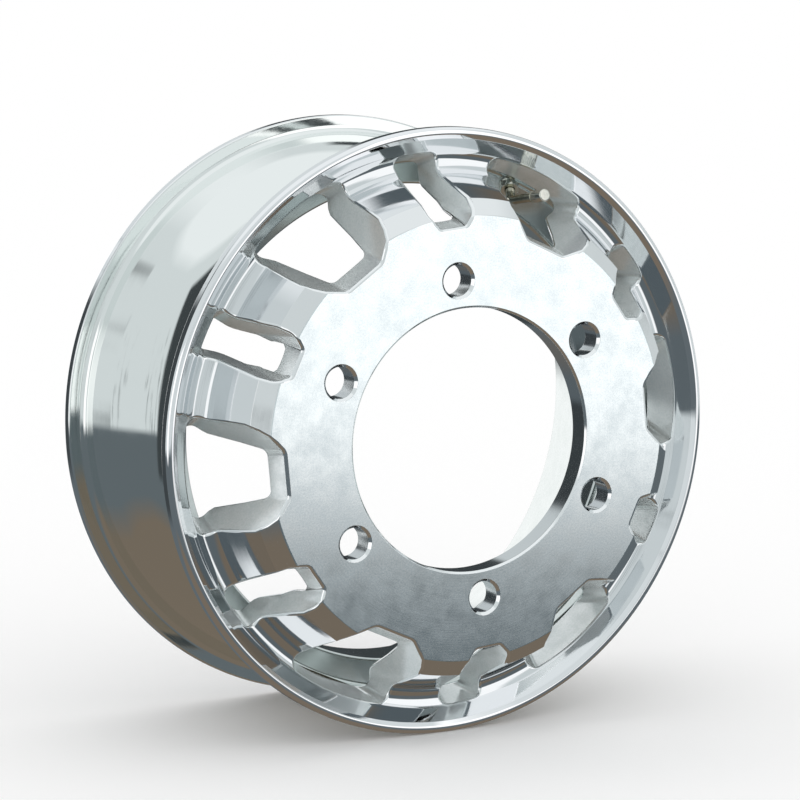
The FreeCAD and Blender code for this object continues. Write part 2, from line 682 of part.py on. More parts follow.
def make_stem():
    """Bend the stem, with its foot, collar, passage and core chamber."""
    body = new_body("valve_stem", SEAT)
    under = "-sizes.valve_wall - sizes.grommet_thickness"
    low = under + " - sizes.foot_thickness"
    swept(body, "AdditivePipe", "bent_rod", low, "sizes.stem_radius")
    foot = new_sketch(body, "foot_section", "XZ_Plane")
    polygon(foot, (
        ("0", low, None),
        ("sizes.foot_radius", low, "sizes.foot_rounding"),
        ("sizes.foot_radius", under, None),
        ("0", under, None),
    ))
    turned(body, "Revolution", "foot", foot, "V_Axis")
    collar = new_sketch(body, "collar_section", "XZ_Plane", mouth_offset())
    polygon(collar, (
        ("0", "-sizes.collar_start", None),
        ("sizes.collar_radius", "-sizes.collar_start", "sizes.mouth_chamfer"),
        ("sizes.collar_radius", "-sizes.collar_start + sizes.collar_length", "sizes.mouth_chamfer"),
        ("0", "-sizes.collar_start + sizes.collar_length", None),
    ))
    turned(body, "Revolution", "collar", collar, "V_Axis")
    swept(body, "SubtractivePipe", "passage", low, "sizes.passage_radius")
    chamber = new_sketch(body, "chamber_section", "XZ_Plane", mouth_offset())
    polygon(chamber, (
        ("0", "sizes.grow", None),
        ("0", "-sizes.throat_depth", None),
        ("sizes.throat_radius", "-sizes.throat_depth", None),
        ("sizes.throat_radius", "-sizes.throat_start", None),
        ("sizes.chamber_radius", "-sizes.chamber_depth", None),
        ("sizes.chamber_radius", "-sizes.mouth_chamfer", None),
        ("sizes.chamber_radius + sizes.mouth_chamfer", "0", None),
        ("sizes.chamber_radius + sizes.mouth_chamfer", "sizes.grow", None),
    ))
    turned(body, "Groove", "chamber", chamber, "V_Axis")
    return body


def mouth_offset():
    """Return the place of the stem mouth on the plane of the bend."""
    return "placement(vector(%s; %s; 0); rotation(vector(0; 0; 1); -sizes.bend_angle))" % (
        BENT_X, BENT_Z)


def make_grommet():
    """Turn the rubber seal between foot and wheel, with its neck in the hole."""
    body = new_body("valve_grommet", SEAT)
    low = "-sizes.valve_wall - sizes.grommet_thickness"
    neck = "-sizes.valve_wall + sizes.grommet_neck"
    sketch = new_sketch(body, "grommet_section", "XZ_Plane")
    polygon(sketch, (
        ("sizes.stem_radius", low, None),
        ("sizes.grommet_radius", low, "sizes.grommet_edge"),
        ("sizes.grommet_radius", "-sizes.valve_wall", None),
        ("sizes.valve_hole_radius", "-sizes.valve_wall", None),
        ("sizes.valve_hole_radius", neck, None),
        ("sizes.stem_radius", neck, None),
    ))
    turned(body, "Revolution", "grommet", sketch, "V_Axis")
    return body


def make_washer():
    """Turn the washer that lies on the inner spot face."""
    body = new_body("valve_washer", SEAT)
    ring(body, "washer", "sizes.stem_radius", "sizes.washer_radius", "0", "sizes.washer_thickness",
         (None, None, "sizes.washer_thickness / 3", None))
    return body


def make_nut():
    """Make the hexagon nut, its outer corners turned down."""
    body = new_body("valve_nut", SEAT)
    low = "sizes.washer_thickness"
    high = low + " + sizes.nut_height"
    wide = "sizes.nut_flats / 2 / cos(30)"
    sketch = new_sketch(body, "nut_section", "XZ_Plane")
    polygon(sketch, (
        ("sizes.stem_radius", low, None),
        (wide, low, None),
        (wide, "%s - sizes.nut_chamfer" % high, None),
        ("sizes.nut_flats / 2", high, None),
        ("sizes.stem_radius", high, None),
    ))
    turned(body, "Revolution", "nut_blank", sketch, "V_Axis")
    offset = "placement(vector(0; 0; %s + sizes.nut_height / 2); rotation(vector(0; 0; 1); 0))" % low
    flat = new_sketch(body, "flat_section", "XY_Plane", offset)
    polygon(flat, (
        ("sizes.nut_flats / 2", "-sizes.nut_flats", None),
        ("sizes.nut_flats", "-sizes.nut_flats", None),
        ("sizes.nut_flats", "sizes.nut_flats", None),
        ("sizes.nut_flats / 2", "sizes.nut_flats", None),
    ))
    pocket = extruded(body, "Pocket", "flat", flat, "sizes.nut_height * 3", True)
    patterned(body, "flats", [pocket], "Z_Axis", "6")
    return body


def make_cap():
    """Turn the valve cap and cut its grip grooves."""
    body = new_body("valve_cap", MOUTH)
    inside = "sizes.cap_crown - sizes.cap_roof"
    sketch = new_sketch(body, "cap_section", "XZ_Plane")
    polygon(sketch, (
        ("sizes.stem_radius", "-sizes.cap_skirt", None),
        ("sizes.cap_radius", "-sizes.cap_skirt", "sizes.mouth_chamfer"),
        ("sizes.cap_radius", "sizes.cap_crown", "sizes.cap_rounding"),
        ("0", "sizes.cap_crown", None),
        ("0", inside, None),
        ("sizes.stem_radius", inside, None),
    ))
    turned(body, "Revolution", "cap", sketch, "V_Axis")
    offset = "placement(vector(0; 0; -sizes.cap_skirt); rotation(vector(0; 0; 1); 0))"
    groove = new_sketch(body, "grip_circle", "XY_Plane", offset)
    circle(groove, "sizes.cap_radius + sizes.cap_groove_radius / 3", "0", "sizes.cap_groove_radius")
    pocket = extruded(body, "Pocket", "grip_groove", groove, "sizes.cap_groove_length * 2", True)
    patterned(body, "grip_grooves", [pocket], "Z_Axis", "sizes.cap_groove_count")
    return body


def make_cap_seal():
    """Turn the rubber disc in the roof of the cap."""
    body = new_body("cap_seal", MOUTH)
    ring(body, "seal", "sizes.cap_seal_hole", "sizes.stem_radius", "0", "sizes.cap_crown - sizes.cap_roof")
    return body


def make_core_body():
    """Turn the threaded core, with its spring cavity and tool slot."""
    body = new_body("core_body", MOUTH)
    sketch = new_sketch(body, "core_section", "XZ_Plane")
    polygon(sketch, (
        ("sizes.core_cavity_radius", "-sizes.core_top", None),
        ("sizes.core_cavity_radius", "-sizes.core_shelf", None),
        ("sizes.core_hole_radius", "-sizes.core_shelf", None),
        ("sizes.core_hole_radius", "-sizes.core_barrel_end", None),
        ("sizes.core_barrel_radius", "-sizes.core_barrel_end", None),
        ("sizes.core_barrel_radius", "-sizes.core_neck_end", None),
        ("sizes.core_neck_radius", "-sizes.core_neck_end", None),
        ("sizes.core_neck_radius", "-sizes.core_head_end", None),
        ("sizes.core_radius", "-sizes.core_head_end", None),
        ("sizes.core_radius", "-sizes.core_top", None),
    ))
    turned(body, "Revolution", "core", sketch, "V_Axis")
    slot = new_sketch(body, "slot_section", "XZ_Plane")
    polygon(slot, (
        ("-sizes.core_slot_width / 2", "-sizes.core_top - sizes.core_slot_depth", None),
        ("sizes.core_slot_width / 2", "-sizes.core_top - sizes.core_slot_depth", None),
        ("sizes.core_slot_width / 2", "sizes.grow", None),
        ("-sizes.core_slot_width / 2", "sizes.grow", None),
    ))
    extruded(body, "Pocket", "tool_slot", slot, "sizes.core_radius * 4", True)
    return body


def make_core_seal():
    """Turn the tapered seal around the neck of the core."""
    body = new_body("core_seal", MOUTH)
    sketch = new_sketch(body, "core_seal_section", "XZ_Plane")
    polygon(sketch, (
        ("sizes.core_neck_radius", "-sizes.core_neck_end", None),
        ("sizes.throat_radius", "-sizes.core_neck_end", None),
        ("sizes.throat_radius", "-sizes.throat_start", None),
        ("sizes.chamber_radius", "-sizes.chamber_depth", None),
        ("sizes.chamber_radius", "-sizes.core_head_end", None),
        ("sizes.core_neck_radius", "-sizes.core_head_end", None),
    ))
    turned(body, "Revolution", "tapered_seal", sketch, "V_Axis")
    return body


def make_pin():
    """Turn the core pin with the collar that holds the spring."""
    body = new_body("core_pin", MOUTH)
    collar_low = "-sizes.pin_collar_top - sizes.pin_collar_height"
    sketch = new_sketch(body, "pin_section", "XZ_Plane")
    polygon(sketch, (
        ("0", "-sizes.pin_end", None),
        ("sizes.pin_radius", "-sizes.pin_end", None),
        ("sizes.pin_radius", collar_low, None),
        ("sizes.pin_collar_radius", collar_low, None),
        ("sizes.pin_collar_radius", "-sizes.pin_collar_top", None),
        ("sizes.pin_radius", "-sizes.pin_collar_top", None),
        ("sizes.pin_radius", "-sizes.pin_top", "sizes.pin_radius / 2"),
        ("0", "-sizes.pin_top", None),
    ))
    turned(body, "Revolution", "pin", sketch, "V_Axis")
    return body


def make_cup():
    """Turn the cup that closes the lower end of the core."""
    body = new_body("core_cup", MOUTH)
    low = "-sizes.core_barrel_end - sizes.cup_height"
    ring(body, "cup", "sizes.pin_radius", "sizes.cup_radius", low, "-sizes.core_barrel_end",
         (None, "sizes.pin_radius / 2", None, None))
    return body


def make_spring():
    """Coil the spring between the shelf of the core and the collar of the pin."""
    body = new_body("core_spring", MOUTH)
    low = "-sizes.core_shelf + sizes.spring_wire"
    high = "-sizes.pin_collar_top - sizes.pin_collar_height - sizes.spring_wire"
    helix = body.newObject("PartDesign::AdditiveHelix", "coil")
    offset = "placement(vector(0; %s; 0); rotation(vector(0; 0; 1); 0))" % low
    sketch = new_sketch(body, "wire_circle", "XZ_Plane", offset)
    circle(sketch, "sizes.spring_radius", "0", "sizes.spring_wire")
    doc.recompute()
    helix.Profile = sketch
    helix.ReferenceAxis = (sketch, ["V_Axis"])
    helix.Mode = "pitch-height-angle"
    helix.setExpression("Pitch", "(%s - (%s)) / sizes.spring_turns" % (high, low))
    helix.setExpression("Height", "%s - (%s)" % (high, low))
    body.Tip = helix
    doc.recompute()
    return body


bodies = (
    make_wheel(),
    make_stem(),
    make_grommet(),
    make_washer(),
    make_nut(),
    make_cap(),
    make_cap_seal(),
    make_core_body(),
    make_core_seal(),
    make_pin(),
    make_cup(),
    make_spring(),
)
doc.recompute()

for item in doc.Objects:
    if "Invalid" in item.State or "Error" in item.State:
        raise RuntimeError("%s: %s" % (item.Name, item.State))
for part in bodies:
    if part.Shape.isNull() or not part.Shape.isValid() or len(part.Shape.Solids) != 1:
        raise RuntimeError("%s is not one valid solid" % part.Label)
    part.Shape.exportStep("parts/%s.step" % part.Label)
    print(part.Label, round(part.Shape.Volume), part.Shape.BoundBox)
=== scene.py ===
import math

import bmesh
import bpy
import numpy as np
from mathutils import Matrix, Vector
from mathutils.geometry import delaunay_2d_cdt


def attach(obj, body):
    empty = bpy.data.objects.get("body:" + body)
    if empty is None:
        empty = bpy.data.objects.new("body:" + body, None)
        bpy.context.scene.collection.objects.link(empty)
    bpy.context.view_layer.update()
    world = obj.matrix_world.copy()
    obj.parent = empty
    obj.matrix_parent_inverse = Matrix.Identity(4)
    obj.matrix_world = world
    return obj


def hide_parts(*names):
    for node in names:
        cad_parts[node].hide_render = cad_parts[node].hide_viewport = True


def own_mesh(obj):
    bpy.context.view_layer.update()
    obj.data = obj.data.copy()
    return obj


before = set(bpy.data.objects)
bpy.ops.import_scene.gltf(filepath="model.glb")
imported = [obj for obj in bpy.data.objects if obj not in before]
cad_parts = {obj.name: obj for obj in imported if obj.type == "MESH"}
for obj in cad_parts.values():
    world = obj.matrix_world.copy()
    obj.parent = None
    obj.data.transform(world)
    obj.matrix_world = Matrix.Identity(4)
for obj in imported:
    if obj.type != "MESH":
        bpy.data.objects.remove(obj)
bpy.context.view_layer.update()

# Sizes are in millimetres, in the frame of the part: the wheel spins about Y,
# its show side looks toward -Y and its mounting face lies at y = 0.
MM = 0.001
FIRST_STUD = 95.34
REPEATS = 6
WHEEL_RADIUS = 234.95
FACE_DEPTH = -20

# The mesh: the angle past the first stud hole at which a sixth of the wheel starts, and
# its columns. A sixth is laid out flat, and this is a degree's width in its plan.
SECTOR_START = 11.4
COLUMNS = 60
FLAT_SCALE = math.radians(190)
# Widest rows in front, behind and on the rim, and the largest step round a corner in degrees.
FRONT_STEP, BACK_STEP, PLAIN_STEP = 7, 9, 40
CORNER_STEP = 11
# Every second column is left out within this radius, and this near to the bore behind.
COARSE_RADIUS, COARSE_BACK = 150, 45
# Columns stay this far from a hole, rows closer than this become one, and a point this
# near to a row lies on it.
HOLE_CLEARANCE, ROW_GAP, ON_ROW = 0.7, 0.02, 0.00002

# Corners of the half section: radius, depth, rounding, finish of the edge after it.
SECTION = (
    (101, -18.5, 0.5, "bevel"),
    (102.5, FACE_DEPTH, 0.5, "face"),
    (170.5, FACE_DEPTH, 2.5, "shoulder"),
    (183, -10, 0.7, "slope"),
    (205, 40.3, 12, "slope"),
    (226, 21.9, 3, "lip"),
    (229.5, 19.8, 3, "lip"),
    (WHEEL_RADIUS, 19.8, 4, "lip"),
    (WHEEL_RADIUS, 30.775, 1.5, "rim"),
    (222.25, 30.775, 6, "rim"),
    (210.3, 75.375, 14, "rim"),
    (194.75, 90.95, 14, "rim"),
    (194.75, 125.3, 80, "rim"),
    (211.8, 163.225, 110, "rim"),
    (222.25, 202.225, 6, "rim"),
    (WHEEL_RADIUS, 202.225, 1.5, "lip"),
    (WHEEL_RADIUS, 213.225, 4, "lip"),
    (214.7, 213.225, 4, "inside"),
    (204, 164.8, 10, "inside"),
    (187.25, 129.3, 20, "inside"),
    (187.25, 87.05, 10, "inside"),
    (206.5, 67.8, 8, "inside"),
    (209, 56.3, 6, "back"),
    (190, 49.3, 12, "back"),
    (164, 0, 15, "back"),
    (102.5, 0, 0.5, "bevel"),
    (101, -1.5, 0.5, "bore"),
)
# Corners, counted from 0, that bound the stretches with windows and stud holes. The
# front stretch ends at a radius, the back one starts at a depth.
FACE_CORNER, VALLEY_CORNER, LIP_CORNER = 1, 4, 6
RIM_FOOT_CORNER, BACK_VALLEY_CORNER, SEAT_CORNER = 21, 23, 25
FRONT_END_RADIUS, BACK_START_DEPTH = 221.5, 64

# Windows: (half width, reach) of notch, knee and side point, their roundings,
# and the radius of the outer wall, at the front and at the back outline. The outlines
# lie at these depths, and the windows at these angles past a stud hole.
FRONT_DEPTH, BACK_DEPTH = -20.7, 67.8
LARGE_ANGLE, NARROW_ANGLE = 30, 60
LARGE = (
    ((17.5, 157), (45.5, 179.5), (77.9, 216.4), (8, 36, 12), 230.5),
    ((9.2, 180.7), (29, 196.7), (46, 216), (5, 28, 6), 205.1),
)
NARROW = (
    ((11, 162), (19.5, 173), (35.5, 222), (5, 12, 10), 230.5),
    ((3, 182), (4.5, 186), (14, 229), (2, 30, 4), 205.1),
)
# Rounding of the windows' edges in front and behind, and its steps.
EDGE_FRONT, EDGE_BACK, EDGE_STEPS = 2.7, 1.5, 5
# Steps of the lines and arcs of half an outline.
OUTLINE_STEPS = (3, 6, 4, 4, 6, 8, 7)
# Samples through the wheel that find where a window's wall starts and ends.
WALL_SAMPLES, HALVINGS = 400, 24

# Stud holes: radii of circle and hole, the angle of the one in the sixth, the bevels in
# front and behind, the rounding of their edges and the degrees between columns.
STUD_CIRCLE, STUD_RADIUS, STUD_ANGLE = 122.5, 12, 60
STUD_BEVEL, STUD_BACK_BEVEL, STUD_ROUNDING = 2.1, 1.5, 0.4
STUD_STEP = 7.5


def link(obj):
    """Put an object into the scene and return it."""
    bpy.context.scene.collection.objects.link(obj)
    return obj


def unit(vector):
    """Return the vector at length one, along its last axis."""
    vector = np.asarray(vector, float)
    return vector / np.linalg.norm(vector, axis=-1, keepdims=True)


def rotated(pair, angle):
    """Return a way in a plane, turned by an angle."""
    c, s = math.cos(angle), math.sin(angle)
    return np.array((c * pair[0] - s * pair[1], s * pair[0] + c * pair[1]))


def rounded(corners):
    """Round the corners of a closed section.

    Returns its points, their outward normals, the finish of the edge after each
    point, and the number of the first point of each corner.
    """
    points, normals, finishes, firsts = [], [], [], []
    count = len(corners)
    for i, (r, y, rounding, finish) in enumerate(corners):
        here = np.array((r, y), float)
        before = np.array(corners[i - 1][:2], float)
        after = np.array(corners[(i + 1) % count][:2], float)
        way_in, way_out = unit(here - before), unit(after - here)
        turn = math.atan2(way_in[0] * way_out[1] - way_in[1] * way_out[0], way_in @ way_out)
        side = 1 if turn > 0 else -1
        middle_in = np.array((-way_in[1], way_in[0])) * side
        start = here - way_in * rounding * math.tan(abs(turn) / 2)
        centre = start + middle_in * rounding
        steps = max(2, math.ceil(abs(math.degrees(turn)) / CORNER_STEP))
        firsts.append(len(points))
        for k in range(steps + 1):
            angle = turn * k / steps
            points.append(centre + rotated(-middle_in, angle) * rounding)
            way = rotated(way_in, angle)
            normals.append((way[1], -way[0]))
            finishes.append(corners[i - 1][3] if k < steps / 2 else finish)
    return np.array(points), np.array(normals), finishes, firsts


POINTS, NORMALS, FINISHES, FIRSTS = rounded(SECTION)
LENGTHS = np.concatenate(((0,), np.cumsum(np.linalg.norm(np.diff(POINTS, axis=0), axis=1))))
TOTAL = LENGTHS[-1] + np.linalg.norm(POINTS[0] - POINTS[-1])


def along(first_corner, last_corner, axis, value):
    """Return the length between two corners where radius (0) or depth (1) has a value."""
    for i in range(FIRSTS[first_corner], FIRSTS[last_corner]):
        a, b = POINTS[i][axis], POINTS[i + 1][axis]
        if min(a, b) <= value <= max(a, b) and a != b:
            return LENGTHS[i] + (LENGTHS[i + 1] - LENGTHS[i]) * (value - a) / (b - a)
    raise ValueError(f"the section never reaches {value}")


def section_at(length):
    """Return radius, depth and outward normal at lengths along the section."""
    length = np.atleast_1d(np.asarray(length, float))
    grid = np.append(LENGTHS, TOTAL)
    closed = np.vstack((POINTS, POINTS[:1]))
    slants = np.vstack((NORMALS, NORMALS[:1]))
    r = np.interp(length, grid, closed[:, 0])
    y = np.interp(length, grid, closed[:, 1])
    n = np.stack([np.interp(length, grid, slants[:, k]) for k in (0, 1)], -1)
    return r, y, unit(n)


def rows_between(start, end, widest):
    """Return the lengths of the section rows between two lengths."""
    rows = sorted([start, end] + [v for v in LENGTHS if start < v < end])
    out = [rows[0]]
    for row in rows[1:]:
        if row - out[-1] < ROW_GAP:
            continue
        pieces = max(1, math.ceil((row - out[-1]) / widest))
        last = out[-1]
        out += [last + (row - last) * k / pieces for k in range(1, pieces + 1)]
    out[-1] = end
    return out


def spot(angle, r, y):
    """Return places from the angle past the first stud hole, radius and depth."""
    theta = np.radians(FIRST_STUD + np.asarray(angle, float))
    return np.stack((r * np.cos(theta), y + 0 * theta, r * np.sin(theta)), -1)


def slant(angle, n):
    """Return directions from the angle and a normal in the section."""
    theta = np.radians(FIRST_STUD + np.asarray(angle, float))
    return np.stack((n[..., 0] * np.cos(theta), n[..., 1] + 0 * theta, n[..., 0] * np.sin(theta)), -1)


def on_section(angle, length):
    """Return places and normals from angles and lengths along the section."""
    r, y, n = section_at(length)
    return spot(angle, r, y), slant(angle, n)


class Surface:
    """Collects places, normals and faces of one mesh."""

    def __init__(self):
        """Start empty."""
        self.places, self.normals, self.faces, self.finishes = [], [], [], []
        self.count = 0

    def add(self, places, normals):
        """Keep places with their normals and return the number of the first."""
        first = self.count
        self.places.append(np.asarray(places, float).reshape(-1, 3))
        self.normals.append(np.asarray(normals, float).reshape(-1, 3))
        self.count += len(self.places[-1])
        return first

    def join(self, faces, finishes):
        """Keep faces as rows of four corners; a triangle repeats its last corner."""
        self.faces.append(np.asarray(faces, int).reshape(-1, 4))
        self.finishes.append(np.asarray(finishes))

    def grid(self, places, normals, finishes, wrap=False):
        """Add a grid of rows and columns, with one finish for each row of faces."""
        rows, columns = places.shape[:2]
        first = self.add(places, normals)
        here = np.arange(columns if wrap else columns - 1)
        after = (here + 1) % columns
        start = (first + np.arange(rows - 1) * columns)[:, None]
        faces = np.stack((start + here, start + after, start + columns + after, start + columns + here), -1)
        self.join(faces, np.repeat(np.asarray(finishes), len(here)))

    def mesh(self, name, finishes):
        """Return an object with these faces, welded, smooth and facing outward."""
        places = np.vstack(self.places) * MM
        normals = unit(np.vstack(self.normals))
        _, keep, index = np.unique(np.round(places, 7), axis=0, return_index=True, return_inverse=True)
        places, normals = places[keep], normals[keep]
        faces = index.reshape(-1)[np.vstack(self.faces)]
        slots = np.concatenate(self.finishes)
        corners = places[faces]
        across = np.cross(corners[:, 2] - corners[:, 0], corners[:, 3] - corners[:, 1])
        turned = (across * normals[faces].sum(1)).sum(1) < 0
        faces[turned] = faces[turned][:, ::-1]
        rings, kept = [], []
        for face, slot in zip(faces.tolist(), slots):
            ring = [v for k, v in enumerate(face) if v != face[k - 1]]
            if len(set(ring)) > 2:
                rings.append(ring)
                kept.append(slot)
        mesh = bpy.data.meshes.new(name)
        mesh.from_pydata(places.tolist(), [], rings)
        names = list(dict.fromkeys(kept))
        for finish in names:
            mesh.materials.append(finishes[finish])
        mesh.polygons.foreach_set("material_index", [names.index(v) for v in kept])
        mesh.polygons.foreach_set("use_smooth", [True] * len(rings))
        mesh.update()
        mesh.normals_split_custom_set_from_vertices(normals.tolist())
        return link(bpy.data.objects.new(name, mesh))


def half_outline(notch, knee, side, roundings, outer):
    """Return lines and arcs of one half of a window, from its inner to its outer end."""
    p0, p1, p2, p3 = (np.array(p, float) for p in ((0, notch[1]), notch, knee, side))
    pieces, start = [], p0
    for before, here, after, rounding in ((p0, p1, p2, roundings[0]), (p1, p2, p3, roundings[1])):
        way_in, way_out = unit(here - before), unit(after - here)
        turn = math.acos(way_in @ way_out)
        reach = rounding * math.tan(turn / 2)
        centre = here - way_in * reach + np.array((-way_in[1], way_in[0])) * rounding
        pieces.append(("line", start, here - way_in * reach))
        pieces.append(("arc", centre, here - way_in * reach, here + way_out * reach))
        start = here + way_out * reach
    way = unit(p3 - p2)
    left = np.array((-way[1], way[0]))
    rounding = roundings[2]
    base = p2 + left * rounding
    middle = base @ way
    centre = base + way * (-middle + math.sqrt((outer - rounding) ** 2 - (base @ left) ** 2))
    touch = p2 + way * ((centre - p2) @ way)
    pieces.append(("line", start, touch))
    pieces.append(("arc", centre, touch, centre * outer / np.linalg.norm(centre)))
    pieces.append(("arc", np.zeros(2), pieces[-1][3], np.array((0, outer))))
    return pieces


def sampled(pieces, counts):
    """Return points along lines and arcs, without the very last one."""
    points = []
    for piece, count in zip(pieces, counts):
        for f in np.arange(count) / count:
            if piece[0] == "line":
                points.append(piece[1] * (1 - f) + piece[2] * f)
                continue
            centre, start, end = piece[1:]
            a = math.atan2(*(start - centre)[::-1])
            b = math.atan2(*(end - centre)[::-1])
            sweep = (b - a + math.pi) % (2 * math.pi) - math.pi
            points.append(centre + rotated(start - centre, sweep * f))
    return points


def full_outline(shape):
    """Return the points of a whole window outline, anticlockwise from its inner end."""
    pieces = half_outline(*shape)
    right = sampled(pieces, OUTLINE_STEPS)
    end = np.array((0, shape[4]), float)
    left = [p * (-1, 1) for p in right[1:][::-1]]
    return np.array(right + [end] + left)


def inside_loop(x, y, loop):
    """Return which points lie inside a closed loop."""
    inside = np.zeros(np.shape(x), bool)
    for a, b in zip(loop, np.roll(loop, -1, axis=0)):
        crosses = (a[1] > y) != (b[1] > y)
        with np.errstate(divide="ignore", invalid="ignore"):
            edge = a[0] + (y - a[1]) * (b[0] - a[0]) / (b[1] - a[1])
        inside ^= crosses & (x < edge)
    return inside


def in_metal(points):
    """Return which points (across, depth, out) lie inside the section."""
    return inside_loop(np.hypot(points[..., 0], points[..., 2]), points[..., 1], POINTS)


def nearest_length(r, y, start, end):
    """Return the length along the section nearest to each point."""
    best = np.full(r.shape, np.inf)
    found = np.zeros(r.shape)
    for i in range(len(POINTS) - 1):
        if LENGTHS[i + 1] < start or LENGTHS[i] > end:
            continue
        way = POINTS[i + 1] - POINTS[i]
        dr, dy = r - POINTS[i][0], y - POINTS[i][1]
        f = np.clip((dr * way[0] + dy * way[1]) / (way @ way), 0, 1)
        gap = np.hypot(dr - f * way[0], dy - f * way[1])
        closer = gap < best
        best = np.where(closer, gap, best)
        found = np.where(closer, LENGTHS[i] + f * (LENGTHS[i + 1] - LENGTHS[i]), found)
    return found


def wall_ends(front, back):
    """Return where the lines between two outlines enter and leave the metal."""
    steps = np.linspace(0, 1, WALL_SAMPLES)
    metal = in_metal(front[:, None] + (back - front)[:, None] * steps[None, :, None])
    first = metal.argmax(1)
    last = np.array([np.where(~row[start:])[0][0] + start for row, start in zip(metal, first)])
    ends = []
    for index, want in ((first, True), (last, False)):
        low, high = steps[index - 1], steps[index]
        for _ in range(HALVINGS):
            middle = (low + high) / 2
            hit = in_metal(front + (back - front) * middle[:, None]) == want
            high, low = np.where(hit, middle, high), np.where(hit, low, middle)
        ends.append(front + (back - front) * high[:, None])
    return ends


def wall_rows(front, back, ranges):
    """Return the rows of a window's edge on the show side and on the back.

    The first of each is a loop of (degrees from the window's middle, length along the
    section). The others hold places and normals in the axes (across, depth, out).
    """
    count = len(front)
    a = np.stack((front[:, 0], np.full(count, FRONT_DEPTH), front[:, 1]), -1)
    b = np.stack((back[:, 0], np.full(count, BACK_DEPTH), back[:, 1]), -1)
    middle = (a + b) / 2
    tangent = np.roll(middle, -1, axis=0) - np.roll(middle, 1, axis=0)
    wall = unit(np.cross(tangent, b - a))
    inward = middle.mean(0) - middle
    wall *= np.sign((wall * inward).sum(1))[:, None]
    rows = []
    for place, radius, (start, end) in zip(wall_ends(a, b), (EDGE_FRONT, EDGE_BACK), ranges):
        r = np.hypot(place[:, 0], place[:, 2])
        length = nearest_length(r, place[:, 1], start, end)
        n = section_at(length)[2]
        out = np.stack((place[:, 0] / r, place[:, 2] / r), -1)
        face = np.stack((n[:, 0] * out[:, 0], n[:, 1], n[:, 0] * out[:, 1]), -1)
        lean = (face * wall).sum(1, keepdims=True)
        centre = place - radius * (face + wall) / (1 + lean)
        touch = centre + radius * face
        r = np.hypot(touch[:, 0], touch[:, 2])
        length = nearest_length(r, touch[:, 1], start, end)
        angle = np.degrees(np.arctan2(-touch[:, 0], touch[:, 2]))
        edge = [(angle, length)]
        for share in np.arange(1, EDGE_STEPS + 1) / EDGE_STEPS:
            n = unit(face * (1 - share) + wall * share)
            edge.append((centre + radius * n, n))
        rows.append(edge)
    return rows


def refined(loops, rows_of):
    """Return how far along the outline each point lies, with all row crossings added."""
    count = len(loops[0][0])
    stops = set(range(count))
    for (_, s), rows in zip(loops, rows_of):
        for i in range(count):
            a, b = s[i], s[(i + 1) % count]
            for row in rows:
                if min(a, b) + 1e-6 < row < max(a, b) - 1e-6:
                    stops.add(round(i + (row - a) / (b - a), 7))
    return np.array(sorted(stops))


def at_stops(values, stops):
    """Return values at places along a closed outline."""
    values = np.asarray(values, float)
    whole = stops.astype(int)
    part = (stops - whole).reshape((-1,) + (1,) * (values.ndim - 1))
    count = len(values)
    return values[whole % count] * (1 - part) + values[(whole + 1) % count] * part


def loop_gap(x, y, loop):
    """Return the distance from each point to a closed loop."""
    best = np.full(np.shape(x), np.inf)
    for a, b in zip(loop, np.roll(loop, -1, axis=0)):
        way = b - a
        f = np.clip(((x - a[0]) * way[0] + (y - a[1]) * way[1]) / max(way @ way, 1e-12), 0, 1)
        best = np.minimum(best, np.hypot(x - a[0] - f * way[0], y - a[1] - f * way[1]))
    return best


def fill_sector(rows, loops, coarse):
    """Triangulate one sector of the section between rows, around closed loops.

    Places are (degrees past the first stud hole times a scale, length along the
    section). Returns the points and the triangles.
    """
    left = SECTOR_START * FLAT_SCALE
    wide = 360 / REPEATS * FLAT_SCALE
    points, index, edges = [], {}, []

    def number(x, y):
        key = (round(x, 5), round(y, 5))
        if key not in index:
            index[key] = len(points)
            points.append(key)
        return index[key]

    for loop in loops:
        ring = [number(*p) for p in loop]
        edges += list(zip(ring, ring[1:] + ring[:1]))
    for row in rows:
        step = 2 if coarse(row) and row not in (rows[0], rows[-1]) else 1
        x = left + wide * np.arange(0, COLUMNS + 1, step) / COLUMNS
        clear = np.ones(len(x), bool)
        cuts = []
        for loop in loops:
            clear &= ~inside_loop(x, row, loop)
            clear &= loop_gap(x, row, loop) > HOLE_CLEARANCE
            cuts += [p[0] for p in loop if abs(p[1] - row) < ON_ROW]
        clear[0] = clear[-1] = True
        line = sorted(list(x[clear]) + cuts)
        ids = [number(p, row) for p in line]
        for a, b, p, q in zip(ids, ids[1:], line, line[1:]):
            if a != b and not any(inside_loop((p + q) / 2, row, loop) for loop in loops):
                edges.append((a, b))
    for low, high in zip(rows, rows[1:]):
        for x in (left, left + wide):
            edges.append((number(x, low), number(x, high)))
    result = delaunay_2d_cdt([Vector(p) for p in points], edges, [], 0, 1e-5, True)
    places = np.array([tuple(v) for v in result[0]])
    faces = np.array(result[2])
    middles = places[faces].mean(1)
    keep = np.ones(len(faces), bool)
    for loop in loops:
        keep &= ~inside_loop(middles[:, 0], middles[:, 1], loop)
    return places, faces[keep]


